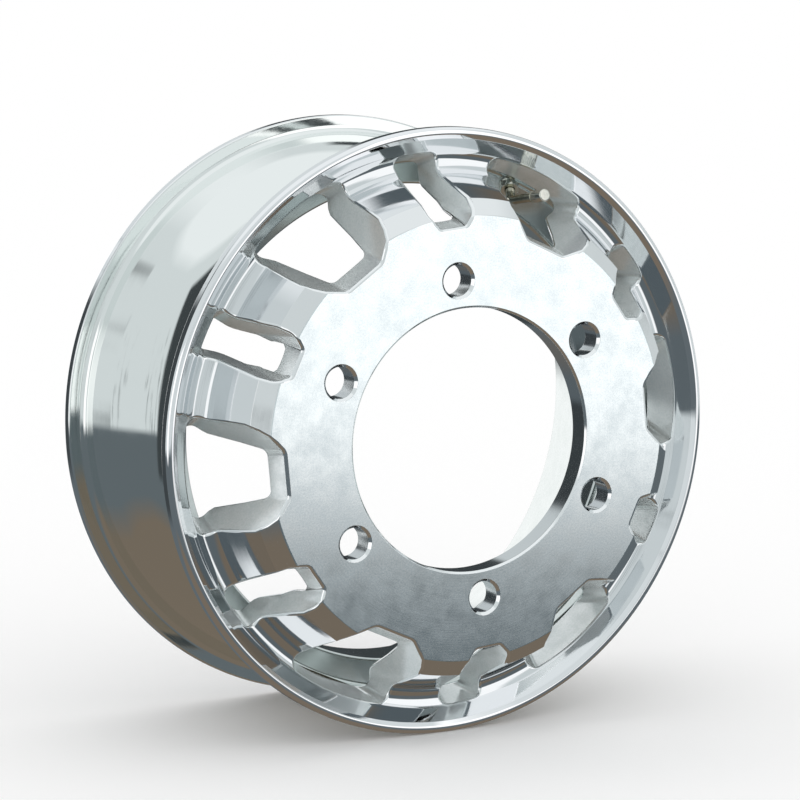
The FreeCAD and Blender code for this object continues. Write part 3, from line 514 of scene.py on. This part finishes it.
def stud_strip():
    """Return rows of the stud hole: places and normals in (across, depth, out)."""
    land = 2 * STUD_RADIUS
    profile, slants, *_ = rounded((
        (land, FACE_DEPTH, 0, ""), (STUD_RADIUS + STUD_BEVEL, FACE_DEPTH, STUD_ROUNDING, ""),
        (STUD_RADIUS, FACE_DEPTH + STUD_BEVEL, STUD_ROUNDING, ""),
        (STUD_RADIUS, -STUD_BACK_BEVEL, STUD_ROUNDING, ""),
        (STUD_RADIUS + STUD_BACK_BEVEL, 0, STUD_ROUNDING, ""), (land, 0, 0, ""),
    ))
    angles = np.radians(np.arange(0, 360, STUD_STEP))
    around = np.stack((np.cos(angles), 0 * angles, np.sin(angles)), -1)
    return [(around * radius + (0, depth, STUD_CIRCLE), around * n[0] + (0, n[1], 0))
            for (radius, depth), n in zip(profile, slants) if radius < land]


def turned_place(local, angle):
    """Return places or directions in (across, depth, out) turned to an angle."""
    theta = np.radians(FIRST_STUD + angle)
    across, depth, out = local[..., 0], local[..., 1], local[..., 2]
    return np.stack((out * np.cos(theta) + across * np.sin(theta), depth,
                     out * np.sin(theta) - across * np.cos(theta)), -1)


def finish_at(length):
    """Return the finish of the section at a length."""
    return FINISHES[int(np.clip(np.searchsorted(LENGTHS, length) - 1, 0, len(FINISHES) - 1))]


def hole_walls(ranges):
    """Return loops, rows of the wall and finishes for each hole in a sixth of the disc."""
    holes = []
    for shape, angle in ((LARGE, LARGE_ANGLE), (NARROW, NARROW_ANGLE)):
        front, back = wall_rows(full_outline(shape[0]), full_outline(shape[1]), ranges)
        loops = [((side[0][0] + angle) * FLAT_SCALE, side[0][1]) for side in (front, back)]
        rows = [(turned_place(p, angle), turned_place(n, angle)) for p, n in front[1:] + back[1:][::-1]]
        edge = ["edge"] * EDGE_STEPS
        holes.append((loops, rows, edge + ["wall"] + edge))
    strip = stud_strip()
    loops = []
    ends = ((strip[0], FIRSTS[FACE_CORNER + 1] - 1, 1), (strip[-1], FIRSTS[SEAT_CORNER], -1))
    for (places, _), point, way in ends:
        across, out = places[:, 0], places[:, 2]
        angle = STUD_ANGLE + np.degrees(np.arctan2(-across, out))
        length = LENGTHS[point] + way * (np.hypot(across, out) - POINTS[point][0])
        loops.append((angle * FLAT_SCALE, length))
    rows = [(turned_place(p, STUD_ANGLE), turned_place(n, STUD_ANGLE)) for p, n in strip[1:-1]]
    labels = ["bevel"] * (len(rows) + 1)
    labels[len(rows) // 2] = "hole"
    holes.append((loops, rows, labels))
    return holes


def make_sector(ranges):
    """Build a sixth of the disc: both its faces and the walls of its holes."""
    (front_start, front_end), (back_start, back_end) = ranges
    fine_start = along(FACE_CORNER, FACE_CORNER + 2, 0, COARSE_RADIUS)
    sides = (
        (rows_between(front_start, front_end, FRONT_STEP), lambda s: s < fine_start),
        (rows_between(back_start, back_end, BACK_STEP), lambda s: s > back_end - COARSE_BACK),
    )
    sector = Surface()
    side_loops = ([], [])
    for loops, rows, labels in hole_walls(ranges):
        stops = refined(loops, [lengths for lengths, _ in sides])
        rings = []
        for (x, s), (lengths, _), kept in zip(loops, sides, side_loops):
            ring = np.stack((at_stops(x, stops), at_stops(s, stops)), -1)
            for length in lengths:
                ring[np.abs(ring[:, 1] - length) < ON_ROW, 1] = length
            kept.append([tuple(p) for p in ring])
            rings.append(on_section(ring[:, 0] / FLAT_SCALE, ring[:, 1]))
        walls = [(at_stops(p, stops), at_stops(n, stops)) for p, n in rows]
        full = [rings[0], *walls, rings[1]]
        sector.grid(np.stack([p for p, _ in full]), np.stack([n for _, n in full]), labels, wrap=True)
    for (lengths, coarse), loops in zip(sides, side_loops):
        places, faces = fill_sector(lengths, loops, coarse)
        first = sector.add(*on_section(places[:, 0] / FLAT_SCALE, places[:, 1]))
        middles = places[faces, 1].mean(1)
        sector.join(first + faces[:, (0, 1, 2, 2)], [finish_at(v) for v in middles])
    return sector


def make_wheel(finishes):
    """Build the whole wheel as one smooth surface."""
    front_start = LENGTHS[FIRSTS[FACE_CORNER + 1] - 1]
    front_end = along(VALLEY_CORNER, LIP_CORNER, 0, FRONT_END_RADIUS)
    back_start = along(RIM_FOOT_CORNER, BACK_VALLEY_CORNER, 1, BACK_START_DEPTH)
    back_end = LENGTHS[FIRSTS[SEAT_CORNER]]
    sector = make_sector(((front_start, front_end), (back_start, back_end)))
    places, normals = np.vstack(sector.places), np.vstack(sector.normals)
    surface = Surface()
    for turn in np.arange(REPEATS) * 2 * math.pi / REPEATS:
        c, s = math.cos(turn), math.sin(turn)
        spin = np.array(((c, 0, s), (0, 1, 0), (-s, 0, c)))
        first = surface.add(places @ spin, normals @ spin)
        surface.join(first + np.vstack(sector.faces), np.concatenate(sector.finishes))
    columns = REPEATS * COLUMNS
    angles = SECTOR_START + np.arange(columns) * 360 / columns
    outer = rows_between(front_end, back_start, PLAIN_STEP)
    inner = rows_between(back_end, TOTAL, PLAIN_STEP)
    inner += [TOTAL + v for v in rows_between(0, front_start, PLAIN_STEP)[1:]]
    for rows in (outer, inner):
        lengths = np.where(np.array(rows) > TOTAL, np.array(rows) - TOTAL, rows)
        labels = [finish_at(((a + b) / 2) % TOTAL) for a, b in zip(rows, rows[1:])]
        surface.grid(*on_section(angles, lengths[:, None]), labels, wrap=True)
    return surface.mesh("wheel_body", finishes)


def linear(colour):
    """Return a hex colour as linear values with full alpha."""
    values = [int(colour[i:i + 2], 16) / 255 for i in (1, 3, 5)]
    return [v / 12.92 if v <= 0.04045 else ((v + 0.055) / 1.055) ** 2.4 for v in values] + [1]


def add(tree, kind, inputs=(), **settings):
    """Add a node, set its options and its inputs, and return it.

    Inputs go by name, or else in the order in which the node shows them. Each is a
    value, an output socket or a node, which gives its first output.
    """
    node = tree.nodes.new(kind)
    for name, value in settings.items():
        setattr(node, name, value)
    if isinstance(inputs, dict):
        pairs = [(node.inputs[name], value) for name, value in inputs.items()]
    else:
        pairs = zip([socket for socket in node.inputs if socket.enabled], inputs)
    for socket, value in pairs:
        if isinstance(value, bpy.types.Node):
            value = [output for output in value.outputs if output.enabled][0]
        if isinstance(value, bpy.types.NodeSocket):
            tree.links.new(value, socket)
        else:
            socket.default_value = value
    return node


def new_material(name):
    """Return a material without nodes, and its tree."""
    material = bpy.data.materials.new(name)
    material.use_nodes = True
    material.node_tree.nodes.clear()
    return material, material.node_tree


# Patterns in millimetres: rings left by turning, stains, and specks of blasting. The
# rings are drawn coarser than real turning marks, so that they show.
RING_PITCH, STAIN_SIZE, SPECK_SIZE = 0.625, 14.286, 1.4286
RUBBER_GRAIN, RUBBER_CLOUD = 0.667, 8.33


def metal(name, colour, rough, tool=0.0, cloud=0.0, grain=0.0, shade=None, skin=0.0):
    """Return a metal with the rings, stains and specks of its making.

    rough is the pair of lowest and highest roughness, tool the depth in metres of
    the rings left by turning, grain that of a blasted or forged grain, and cloud how
    much stains and handling marks turn the colour toward shade. skin is the share of
    dull forging skin, which scatters light.
    """
    material, tree = new_material(name)
    place = add(tree, "ShaderNodeTexCoord").outputs["Object"]
    axes = add(tree, "ShaderNodeSeparateXYZ", [place]).outputs
    flat = add(tree, "ShaderNodeCombineXYZ", [axes["X"], 0, axes["Z"]])
    radius = add(tree, "ShaderNodeVectorMath", [flat], operation="LENGTH")
    rings = add(tree, "ShaderNodeCombineXYZ", [radius, axes["Y"]])
    fine = add(tree, "ShaderNodeTexNoise", [rings, 1 / (RING_PITCH * MM), 1, 0.7])
    stain = add(tree, "ShaderNodeTexNoise", [place, 1 / (STAIN_SIZE * MM), 3, 0.6])
    speck = add(tree, "ShaderNodeTexNoise", [place, 1 / (SPECK_SIZE * MM), 1, 0.6])
    wear = add(tree, "ShaderNodeMix", [0.55, fine, stain])
    patch = add(tree, "ShaderNodeMix", [0.45, speck, stain])
    tint = add(tree, "ShaderNodeMapRange", [patch, 0.38, 0.62, 0, cloud])
    normal = {}
    for height, depth in ((fine, tool), (speck, grain)):
        if depth:
            relief = {"Strength": 1.0, "Distance": depth, "Height": height}
            normal = {"Normal": add(tree, "ShaderNodeBump", {**relief, **normal})}
    shader = add(tree, "ShaderNodeBsdfPrincipled", {
        "Base Color": add(tree, "ShaderNodeMix", [tint, linear(colour), linear(shade or colour)],
                          data_type="RGBA"),
        "Metallic": 1 - skin,
        "Roughness": add(tree, "ShaderNodeMapRange", [wear, 0.35, 0.65, *rough]),
        **normal,
    })
    add(tree, "ShaderNodeOutputMaterial", [shader])
    return material


def rubber(name, colour):
    """Return a rubber material with a dull, slightly uneven skin."""
    material, tree = new_material(name)
    place = add(tree, "ShaderNodeTexCoord").outputs["Object"]
    grain = add(tree, "ShaderNodeTexNoise", [place, 1 / (RUBBER_GRAIN * MM), 2, 0.6])
    cloud = add(tree, "ShaderNodeTexNoise", [place, 1 / (RUBBER_CLOUD * MM), 2, 0.5])
    share = add(tree, "ShaderNodeMapRange", [cloud, 0.35, 0.65, 0, 0.4])
    dark = linear(colour)
    pale = [v * 1.8 for v in dark[:3]] + [1]
    shader = add(tree, "ShaderNodeBsdfPrincipled", {
        "Base Color": add(tree, "ShaderNodeMix", [share, dark, pale], data_type="RGBA"),
        "Roughness": add(tree, "ShaderNodeMapRange", [grain, 0.3, 0.7, 0.55, 0.75]),
        "Normal": add(tree, "ShaderNodeBump", {"Strength": 0.6, "Distance": 0.03 * MM, "Height": grain}),
    })
    add(tree, "ShaderNodeOutputMaterial", [shader])
    return material


FINISH_LOOKS = {
    # Hub face: turned, then blasted to a soft satin, with faint stains and specks.
    "face": metal("satin_aluminium_face", "#f8feff", (0.09, 0.17), 0.000002, 0.8, 0.000003, "#e2ecf0"),
    # Bright turned and polished surfaces.
    "shoulder": metal("turned_aluminium_shoulder", "#f0f2f3", (0.07, 0.14), 0.000004),
    "slope": metal("turned_aluminium_slope", "#e8ebed", (0.03, 0.09), 0.000003),
    "lip": metal("polished_aluminium_lip", "#f8f9fb", (0.02, 0.06), 0.000002),
    "rim": metal("polished_aluminium_rim", "#f4f7f6", (0.03, 0.09), 0.000003),
    # The inside of the rim is turned, the back of the disc left as forged.
    "inside": metal("turned_aluminium_inside", "#e2e7e6", (0.09, 0.14), 0.000002, 0.6, 0, "#d3dad8"),
    "back": metal("forged_aluminium_back", "#ccd2d4", (0.32, 0.46), 0, 0.7, 0.00002, "#b2babd"),
    "bevel": metal("bright_aluminium_bevel", "#f8fafb", (0.05, 0.1)),
    "bore": metal("turned_aluminium_bore", "#dfe2e4", (0.08, 0.16), 0.000005),
    "hole": metal("drilled_aluminium_hole", "#dadde0", (0.12, 0.22), 0.000005),
    # Window walls keep the soft skin of the forging and milling.
    "wall": metal("milled_aluminium_wall", "#f8fbfb", (0.14, 0.26), 0, 0.7, 0.000004, "#e0e7e7", 0.33),
    "edge": metal("bright_aluminium_edge", "#f8fafb", (0.06, 0.12)),
}

wheel = make_wheel(FINISH_LOOKS)
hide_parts("wheel")
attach(wheel, "wheel")

# Valve: it stands on the slope of the rim, leans toward the spin axis and is bent
# back to the show side. Distances run along its middle line from the spot face.
VALVE_ANGLE = math.radians(FIRST_STUD - LARGE_ANGLE)
VALVE_OUT = np.array((math.cos(VALVE_ANGLE), 0, math.sin(VALVE_ANGLE)))
VALVE_ASIDE = np.array((-math.sin(VALVE_ANGLE), 0, math.cos(VALVE_ANGLE)))
REARWARD = np.array((0, 1, 0))
SPOT_FACE = np.array((204, 70.6))
LEAN, BEND = math.radians(45), math.radians(55)
RISE, BEND_RADIUS = 11.5, 14
MOUTH = RISE + BEND_RADIUS * BEND + 36
VALVE_STEP = 1.1

# Sizes that more than one piece of the valve takes up.
STEM_RADIUS, THREAD_ROOT = 3.85, 3.45
FOOT_TOP, WASHER_TOP, NUT_TOP = -6.8, 1.2, 7.2
NUT_FLAT, NUT_RADIUS, NUT_SHARPNESS = 7, 8.083, 50
CAP_RADIUS, CAP_START, CAP_END = 4.9, MOUTH - 10.4, MOUTH + 3.2
GROOVES, GROOVE_RADIUS, GROOVE_OFFSET, GROOVE_LENGTH, GROOVE_FADE = 20, 0.45, 0.15, 7, 0.4


def in_space(pair):
    """Return a place or way (out, rearward) of the valve's plane in space."""
    return pair[0] * VALVE_OUT + pair[1] * REARWARD


def valve_line(distance):
    """Return a point of the valve's middle line, its way there and the way across it."""
    turn = min(max(distance - RISE, 0) / BEND_RADIUS, BEND)
    lean = LEAN + turn
    way = np.array((-math.cos(lean), -math.sin(lean)))
    across = np.array((math.sin(lean), -math.cos(lean)))
    place = SPOT_FACE + np.array((-math.cos(LEAN), -math.sin(LEAN))) * min(distance, RISE)
    if turn > 0:
        side = np.array((math.sin(LEAN), -math.cos(LEAN)))
        place = place + (side - across) * BEND_RADIUS + way * max(distance - RISE - BEND_RADIUS * BEND, 0)
    return in_space(place), in_space(way), in_space(across)


def valve_piece(name, corners, finish, columns=48, shape=None):
    """Build a smooth piece around the valve's middle line and return it.

    Corners are (radius, distance, rounding), anticlockwise; shape returns the
    radius for a radius, a distance and the angles around the line.
    """
    profile, slants, *_ = rounded([corner + ("",) for corner in corners])
    profile = np.vstack((profile, profile[:1]))
    slants = np.vstack((slants, slants[:1]))
    rows, leans = [profile[0]], [slants[0]]
    for a, b, n in zip(profile, profile[1:], slants[1:]):
        steps = max(1, math.ceil(abs(b[1] - a[1]) / VALVE_STEP))
        for k in range(1, steps + 1):
            rows.append(a + (b - a) * k / steps)
            leans.append(n)
    angles = np.arange(columns) * 2 * math.pi / columns
    places, rough_normals = [], []
    for (radius, distance), lean in zip(rows, leans):
        place, way, across = valve_line(distance)
        radii = shape(radius, distance, angles) if shape else np.full(columns, radius)
        spokes = across * np.cos(angles)[:, None] + VALVE_ASIDE * np.sin(angles)[:, None]
        places.append(place + spokes * radii[:, None])
        rough_normals.append(spokes * lean[0] + way * lean[1])
    places, rough_normals = np.array(places), np.array(rough_normals)
    down = np.gradient(places, axis=0)
    around = np.roll(places, -1, axis=1) - np.roll(places, 1, axis=1)
    normals = np.cross(down, around)
    size = np.linalg.norm(normals, axis=-1, keepdims=True)
    weak = size < 1e-6
    normals = np.where(weak, rough_normals, normals / np.where(weak, 1, size))
    normals *= np.where((normals * rough_normals).sum(-1, keepdims=True) < 0, -1, 1)
    surface = Surface()
    surface.grid(places, normals, ["metal"] * (len(rows) - 1), wrap=True)
    obj = surface.mesh(name, {"metal": finish})
    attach(obj, "wheel")
    return obj


def hexagon(radius, distance, angles):
    """Turn the sides of the nut into six flats."""
    if radius < STEM_RADIUS + 1:
        return np.full(len(angles), radius)
    flat = NUT_FLAT / np.cos((angles + math.pi / 6) % (math.pi / 3) - math.pi / 6)
    cone = radius - (NUT_RADIUS - flat.max())
    return (flat ** -NUT_SHARPNESS + np.full(len(angles), cone) ** -NUT_SHARPNESS) ** (-1 / NUT_SHARPNESS)


def grip(radius, distance, angles):
    """Cut the round grip grooves of the cap, from its rim upward."""
    pitch = 2 * math.pi / GROOVES
    turn = (angles + pitch / 2) % pitch - pitch / 2
    centre = CAP_RADIUS + GROOVE_OFFSET
    sine = np.minimum(np.abs(centre * np.sin(turn)), GROOVE_RADIUS)
    groove = centre * np.cos(turn) - np.sqrt(GROOVE_RADIUS ** 2 - sine ** 2)
    deep = np.where(sine < GROOVE_RADIUS - 0.001, np.minimum(groove - CAP_RADIUS, 0), 0)
    fade = min(max((CAP_START + GROOVE_LENGTH - distance) / GROOVE_FADE, 0), 1)
    return radius + deep * fade * (radius > STEM_RADIUS + GROOVE_RADIUS)


# Plated and bare metal of the valve: the nut and cap are bright, the stem is cloudy.
nickel = metal("nickel_plated_stem", "#d9d6c6", (0.08, 0.18), 0, 0.9, 0.000004, "#a3a08c")
bright_nickel = metal("nickel_plated_nut", "#f0efe6", (0.05, 0.13), 0, 0.6, 0, "#dad9cf")
zinc = metal("zinc_plated_washer", "#e4e7e4", (0.1, 0.2), 0.000003, 0.6, 0, "#c9cec9")
brass = metal("turned_brass_core", "#d3ad68", (0.14, 0.26), 0.000003, 0.7, 0, "#b08c4e")
steel = metal("stainless_spring_steel", "#ccd0d2", (0.12, 0.24), 0, 0.6, 0.000002, "#a9aeb2")
# Moulded seals, dull and slightly mottled.
black = rubber("black_valve_rubber", "#1c1d1e")
red = rubber("red_sealing_plastic", "#8f1f18")

THREAD = [(THREAD_ROOT if k % 2 else STEM_RADIUS, 7.4 + 0.45 * k, 0.12) for k in range(1, 10)]
stem = valve_piece("valve_stem_bent", [
    (1.3, -9.2, 0.2), (7.4, -9.2, 1), (7.4, FOOT_TOP, 0.2), (STEM_RADIUS, FOOT_TOP, 0.3), *THREAD,
    (STEM_RADIUS, MOUTH - 13.6, 0.2), (4.7, MOUTH - 13.6, 0.5), (4.7, MOUTH - 11.4, 0.5),
    (STEM_RADIUS, MOUTH - 11.4, 0.2), (STEM_RADIUS, MOUTH, 0.15), (3.15, MOUTH, 0.1),
    (2.65, MOUTH - 0.5, 0.1), (2.65, MOUTH - 9, 0.1), (1.9, MOUTH - 11, 0.1),
    (1.9, MOUTH - 25, 0.1), (1.3, MOUTH - 25, 0.1),
], nickel)
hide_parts("valve_stem")
grommet = valve_piece("valve_grommet_ring", [
    (STEM_RADIUS, FOOT_TOP, 0.1), (7.6, FOOT_TOP, 0.8), (7.6, -4, 0.2), (4.95, -4, 0.1),
    (4.95, -1, 0.3), (STEM_RADIUS, -1, 0.2),
], black)
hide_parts("valve_grommet")
washer = valve_piece("valve_washer_ring", [
    (STEM_RADIUS, 0, 0.15), (8.2, 0, 0.25), (8.2, WASHER_TOP, 0.4), (STEM_RADIUS, WASHER_TOP, 0.25),
], zinc, 64)
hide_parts("valve_washer")
nut = valve_piece("valve_nut_hexagon", [
    (STEM_RADIUS, WASHER_TOP, 0.3), (NUT_RADIUS, WASHER_TOP, 0.25), (NUT_RADIUS, 6.3, 0.1),
    (7, NUT_TOP, 0.15), (4.3, NUT_TOP, 0.1), (STEM_RADIUS, 6.8, 0.1),
], bright_nickel, 120, hexagon)
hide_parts("valve_nut")
cap = valve_piece("valve_cap_ribbed", [
    (STEM_RADIUS, CAP_START, 0.15), (CAP_RADIUS, CAP_START, 0.5), (CAP_RADIUS, CAP_END, 1.2),
    (0, CAP_END, 0), (0, MOUTH + 1.6, 0), (STEM_RADIUS, MOUTH + 1.6, 0.2),
], bright_nickel, 240, grip)
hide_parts("valve_cap")


def coil_tree(sizes, finish):
    """Return a Geometry Nodes tree that coils a round wire upward, and its sockets."""
    tree = bpy.data.node_groups.new("valve_spring_coil", "GeometryNodeTree")
    sockets = {}
    for label in sizes:
        socket = tree.interface.new_socket(label, in_out="INPUT", socket_type="NodeSocketFloat")
        sockets[label] = socket.identifier
    tree.interface.new_socket("Mesh", in_out="OUTPUT", socket_type="NodeSocketGeometry")
    given = add(tree, "NodeGroupInput").outputs
    coil = add(tree, "GeometryNodeCurveSpiral", {
        "Resolution": 24, "Rotations": given["Turns"], "Start Radius": given["Coil radius"],
        "End Radius": given["Coil radius"], "Height": given["Length"],
    })
    wire = add(tree, "GeometryNodeCurvePrimitiveCircle", {"Resolution": 12, "Radius": given["Wire radius"]})
    tube = add(tree, "GeometryNodeCurveToMesh", {"Curve": coil, "Profile Curve": wire, "Fill Caps": True})
    smooth = add(tree, "GeometryNodeSetShadeSmooth", [tube])
    whole = add(tree, "GeometryNodeRealizeInstances", [smooth])
    coated = add(tree, "GeometryNodeSetMaterial", {"Geometry": whole, "Material": finish})
    add(tree, "NodeGroupOutput", [coated])
    return tree, sockets


def valve_spring(name, low, high, finish):
    """Coil the spring of the valve core between two distances and return it."""
    sizes = {"Turns": 6.0, "Coil radius": 1.25 * MM, "Wire radius": 0.2 * MM, "Length": (high - low) * MM}
    tree, sockets = coil_tree(sizes, finish)
    obj = link(bpy.data.objects.new(name, bpy.data.meshes.new("empty")))
    modifier = obj.modifiers.new("coil", "NODES")
    modifier.node_group = tree
    for label, size in sizes.items():
        modifier[sockets[label]] = size
    evaluated = obj.evaluated_get(bpy.context.evaluated_depsgraph_get())
    mesh = bpy.data.meshes.new_from_object(evaluated)
    obj.modifiers.clear()
    obj.data = mesh
    place, way, across = valve_line(low)
    axes = np.stack((across, VALVE_ASIDE, way), -1)
    mesh.transform(Matrix.Translation(place * MM) @ Matrix(axes.tolist()).to_4x4())
    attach(obj, "wheel")
    place, way, _ = valve_line(SPRING_SEAT)
    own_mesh(obj)
    return obj


# The spring's distances, and a seat and a share of its length that nothing here uses to shorten it.
SPRING_LOW, SPRING_HIGH = MOUTH - 6.8, MOUTH - 2.3
SPRING_SEAT, SPRING_SHARE = MOUTH - 7, 0.67
spring = valve_spring("valve_core_spring", SPRING_LOW, SPRING_HIGH, steel)
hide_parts("core_spring")

# The other pieces inside the valve keep their solids and get their own finish.
INNER_LOOKS = {
    "cap_seal": black, "core_seal": red, "core_body": brass, "core_pin": brass, "core_cup": black,
}
for name, finish in INNER_LOOKS.items():
    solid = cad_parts[name]
    solid.data.materials.clear()
    solid.data.materials.append(finish)

# Camera, where the photograph was taken from: angles in degrees, distance in metres, the
# axis at its own pixel of the square picture, and the point that it looks at.
AZIMUTH, ELEVATION, DISTANCE = -29.31, 8.5, 2.66
PHOTO_PIXELS, FOCAL_PIXELS, SENSOR_WIDTH = 800, 3459.064, 36
AXIS_COLUMN, AXIS_ROW = 442.4, 432.7
AIM = Vector((0, 25.3, 0)) * MM


def make_camera():
    """Place the camera and make it the scene's own."""
    azimuth, elevation = math.radians(AZIMUTH), math.radians(ELEVATION)
    back_way = Vector((
        math.sin(azimuth) * math.cos(elevation),
        -math.cos(azimuth) * math.cos(elevation),
        math.sin(elevation),
    ))
    data = bpy.data.cameras.new("camera")
    data.sensor_width = SENSOR_WIDTH
    data.lens = FOCAL_PIXELS / PHOTO_PIXELS * SENSOR_WIDTH
    data.shift_x = (PHOTO_PIXELS / 2 - AXIS_COLUMN) / PHOTO_PIXELS
    data.shift_y = (AXIS_ROW - PHOTO_PIXELS / 2) / PHOTO_PIXELS
    data.clip_start, data.clip_end = 0.1, 60
    camera = link(bpy.data.objects.new("camera", data))
    camera.location = AIM + back_way * DISTANCE
    camera.rotation_mode = "QUATERNION"
    camera.rotation_quaternion = (-back_way).to_track_quat("-Z", "Y")
    bpy.context.scene.camera = camera


def make_floor():
    """Lay a plain white floor under the wheel."""
    mesh = bpy.data.meshes.new("floor")
    mesh.from_pydata([(-30, -30, 0), (30, -30, 0), (30, 30, 0), (-30, 30, 0)], [], [(0, 1, 2, 3)])
    material, tree = new_material("white_paper_floor")
    paper = add(tree, "ShaderNodeBsdfDiffuse", {"Color": (1, 1, 1, 1)})
    add(tree, "ShaderNodeOutputMaterial", [paper])
    mesh.materials.append(material)
    floor = link(bpy.data.objects.new("floor", mesh))
    floor.location.z = -WHEEL_RADIUS * MM
    # Mirrors look through the floor to the painted ground of the reflection ball.
    floor.visible_glossy = False


# Painted reflections for polished metal: a glowing ball, seen only in mirrors, painted as a
# plain studio with a brown and a grey ground, pale walls and a paler ceiling.
# Radius of the ball and its glow, above one, so that its whites paint bright highlights.
ROOM_RADIUS, PAINTED_REFLECTION_STRENGTH = 12, 1.15
PAINTED_BROWN_GROUND, PAINTED_GREY_GROUND, PAINTED_WALL, PAINTED_CEILING = "#6e6458", "#5a6266", "#c8cecf", "#e0e4e5"
PAINTED_DARK_PANEL, PAINTED_HIGHLIGHT_PANEL, PAINTED_STREAK = "#3a3f41", "#ffffff", "#505658"
# Where one surface ends and the next begins, as heights in degrees.
GROUND_CHANGE, WALL_FOOT, STREAK_TOP, CEILING_EDGE = (-36, -28), (-9, -7), (18, 24), (44, 50)
# Painted dark panels and bright painted highlights in the walls: from and to which azimuth,
# with 0 toward +Y and 90 toward +X, then from and to which height, in degrees, and the colour.
PAINTED_REFLECTION_PANELS = (
    (-45, -20, -20, 35, PAINTED_DARK_PANEL), (20, 45, -30, 35, PAINTED_DARK_PANEL),
    (-15, 15, -10, 20, PAINTED_HIGHLIGHT_PANEL), (-125, -90, -10, 20, PAINTED_HIGHLIGHT_PANEL), (140, 160, -10, 40, PAINTED_HIGHLIGHT_PANEL),
)
PANEL_EDGE = 1.5


def fade(tree, value, limits, first, second, most=1):
    """Turn the first colour into the second, by most of it, as a value crosses the limits."""
    share = add(tree, "ShaderNodeMapRange", [value, *limits, 0, most])
    return add(tree, "ShaderNodeMix", [share, first, second], data_type="RGBA")


def between(tree, value, low, high):
    """Return 1 while a value is between two limits and 0 beyond them, with soft edges."""
    rise = add(tree, "ShaderNodeMapRange", [value, low - PANEL_EDGE, low + PANEL_EDGE, 0, 1])
    fall = add(tree, "ShaderNodeMapRange", [value, high - PANEL_EDGE, high + PANEL_EDGE, 1, 0])
    return add(tree, "ShaderNodeMath", [rise, fall], operation="MULTIPLY")


def painted_reflection_look():
    """Return the glowing material of the ball of painted reflections, for mirrors only."""
    look, tree = new_material("painted_reflection_walls")
    place = add(tree, "ShaderNodeTexCoord").outputs["Object"]
    way = add(tree, "ShaderNodeVectorMath", [place], operation="NORMALIZE")
    axes = add(tree, "ShaderNodeSeparateXYZ", [way]).outputs
    height = add(tree, "ShaderNodeMath", [axes["Z"]], operation="ARCSINE")
    height = add(tree, "ShaderNodeMath", [height], operation="DEGREES")
    azimuth = add(tree, "ShaderNodeMath", [axes["X"], axes["Y"]], operation="ARCTAN2")
    azimuth = add(tree, "ShaderNodeMath", [azimuth], operation="DEGREES")

    # Painted reflection of walls, with faint upright dark streaks.
    across = add(tree, "ShaderNodeMath", [azimuth, 0.35], operation="MULTIPLY")
    upward = add(tree, "ShaderNodeMath", [height, 0.05], operation="MULTIPLY")
    streaks = add(tree, "ShaderNodeCombineXYZ", [across, upward])
    streaks = add(tree, "ShaderNodeTexNoise", [streaks, 1.0, 2, 0.6])
    walls = fade(tree, streaks, (0.55, 0.63), linear(PAINTED_WALL), linear(PAINTED_STREAK), 0.55)

    # Painted ground, walls and ceiling, by height.
    colour = fade(tree, height, GROUND_CHANGE, linear(PAINTED_BROWN_GROUND), linear(PAINTED_GREY_GROUND))
    colour = fade(tree, height, WALL_FOOT, colour, walls)
    colour = fade(tree, height, STREAK_TOP, colour, linear(PAINTED_WALL))
    colour = fade(tree, height, CEILING_EDGE, colour, linear(PAINTED_CEILING))
    # Painted dark panels and bright painted highlights.
    for first, last, bottom, top, tone in PAINTED_REFLECTION_PANELS:
        share = [between(tree, azimuth, first, last), between(tree, height, bottom, top)]
        share = add(tree, "ShaderNodeMath", share, operation="MULTIPLY")
        colour = add(tree, "ShaderNodeMix", [share, colour, linear(tone)], data_type="RGBA")
    shine = add(tree, "ShaderNodeEmission", [colour, PAINTED_REFLECTION_STRENGTH])
    add(tree, "ShaderNodeOutputMaterial", [shine])
    # It lights nothing directly and only paints what mirrors see.
    look.cycles.emission_sampling = "NONE"
    return look


def make_painted_reflection_ball():
    """Put the wheel into a glowing ball of painted reflections that only polished metal mirrors."""
    mesh = bpy.data.meshes.new("painted_reflection_ball")
    ball = bmesh.new()
    bmesh.ops.create_uvsphere(ball, u_segments=96, v_segments=48, radius=ROOM_RADIUS)
    bmesh.ops.reverse_faces(ball, faces=ball.faces)
    ball.to_mesh(mesh)
    ball.free()
    mesh.polygons.foreach_set("use_smooth", [True] * len(mesh.polygons))
    mesh.materials.append(painted_reflection_look())
    painted_reflection_ball = link(bpy.data.objects.new("painted_reflection_ball", mesh))
    # Hidden from the camera, from diffuse light and from shadows, it only paints reflections.
    painted_reflection_ball.visible_camera = painted_reflection_ball.visible_diffuse = painted_reflection_ball.visible_shadow = False


make_camera()
make_floor()
make_painted_reflection_ball()
bpy.context.scene.view_settings.view_transform = "Standard"

# Plain soft light from everywhere.
world = bpy.data.worlds.new("studio")
bpy.context.scene.world = world
world.use_nodes = True
world.node_tree.nodes["Background"].inputs["Color"].default_value = (1, 1, 1, 1)
world.node_tree.nodes["Background"].inputs["Strength"].default_value = 1.0
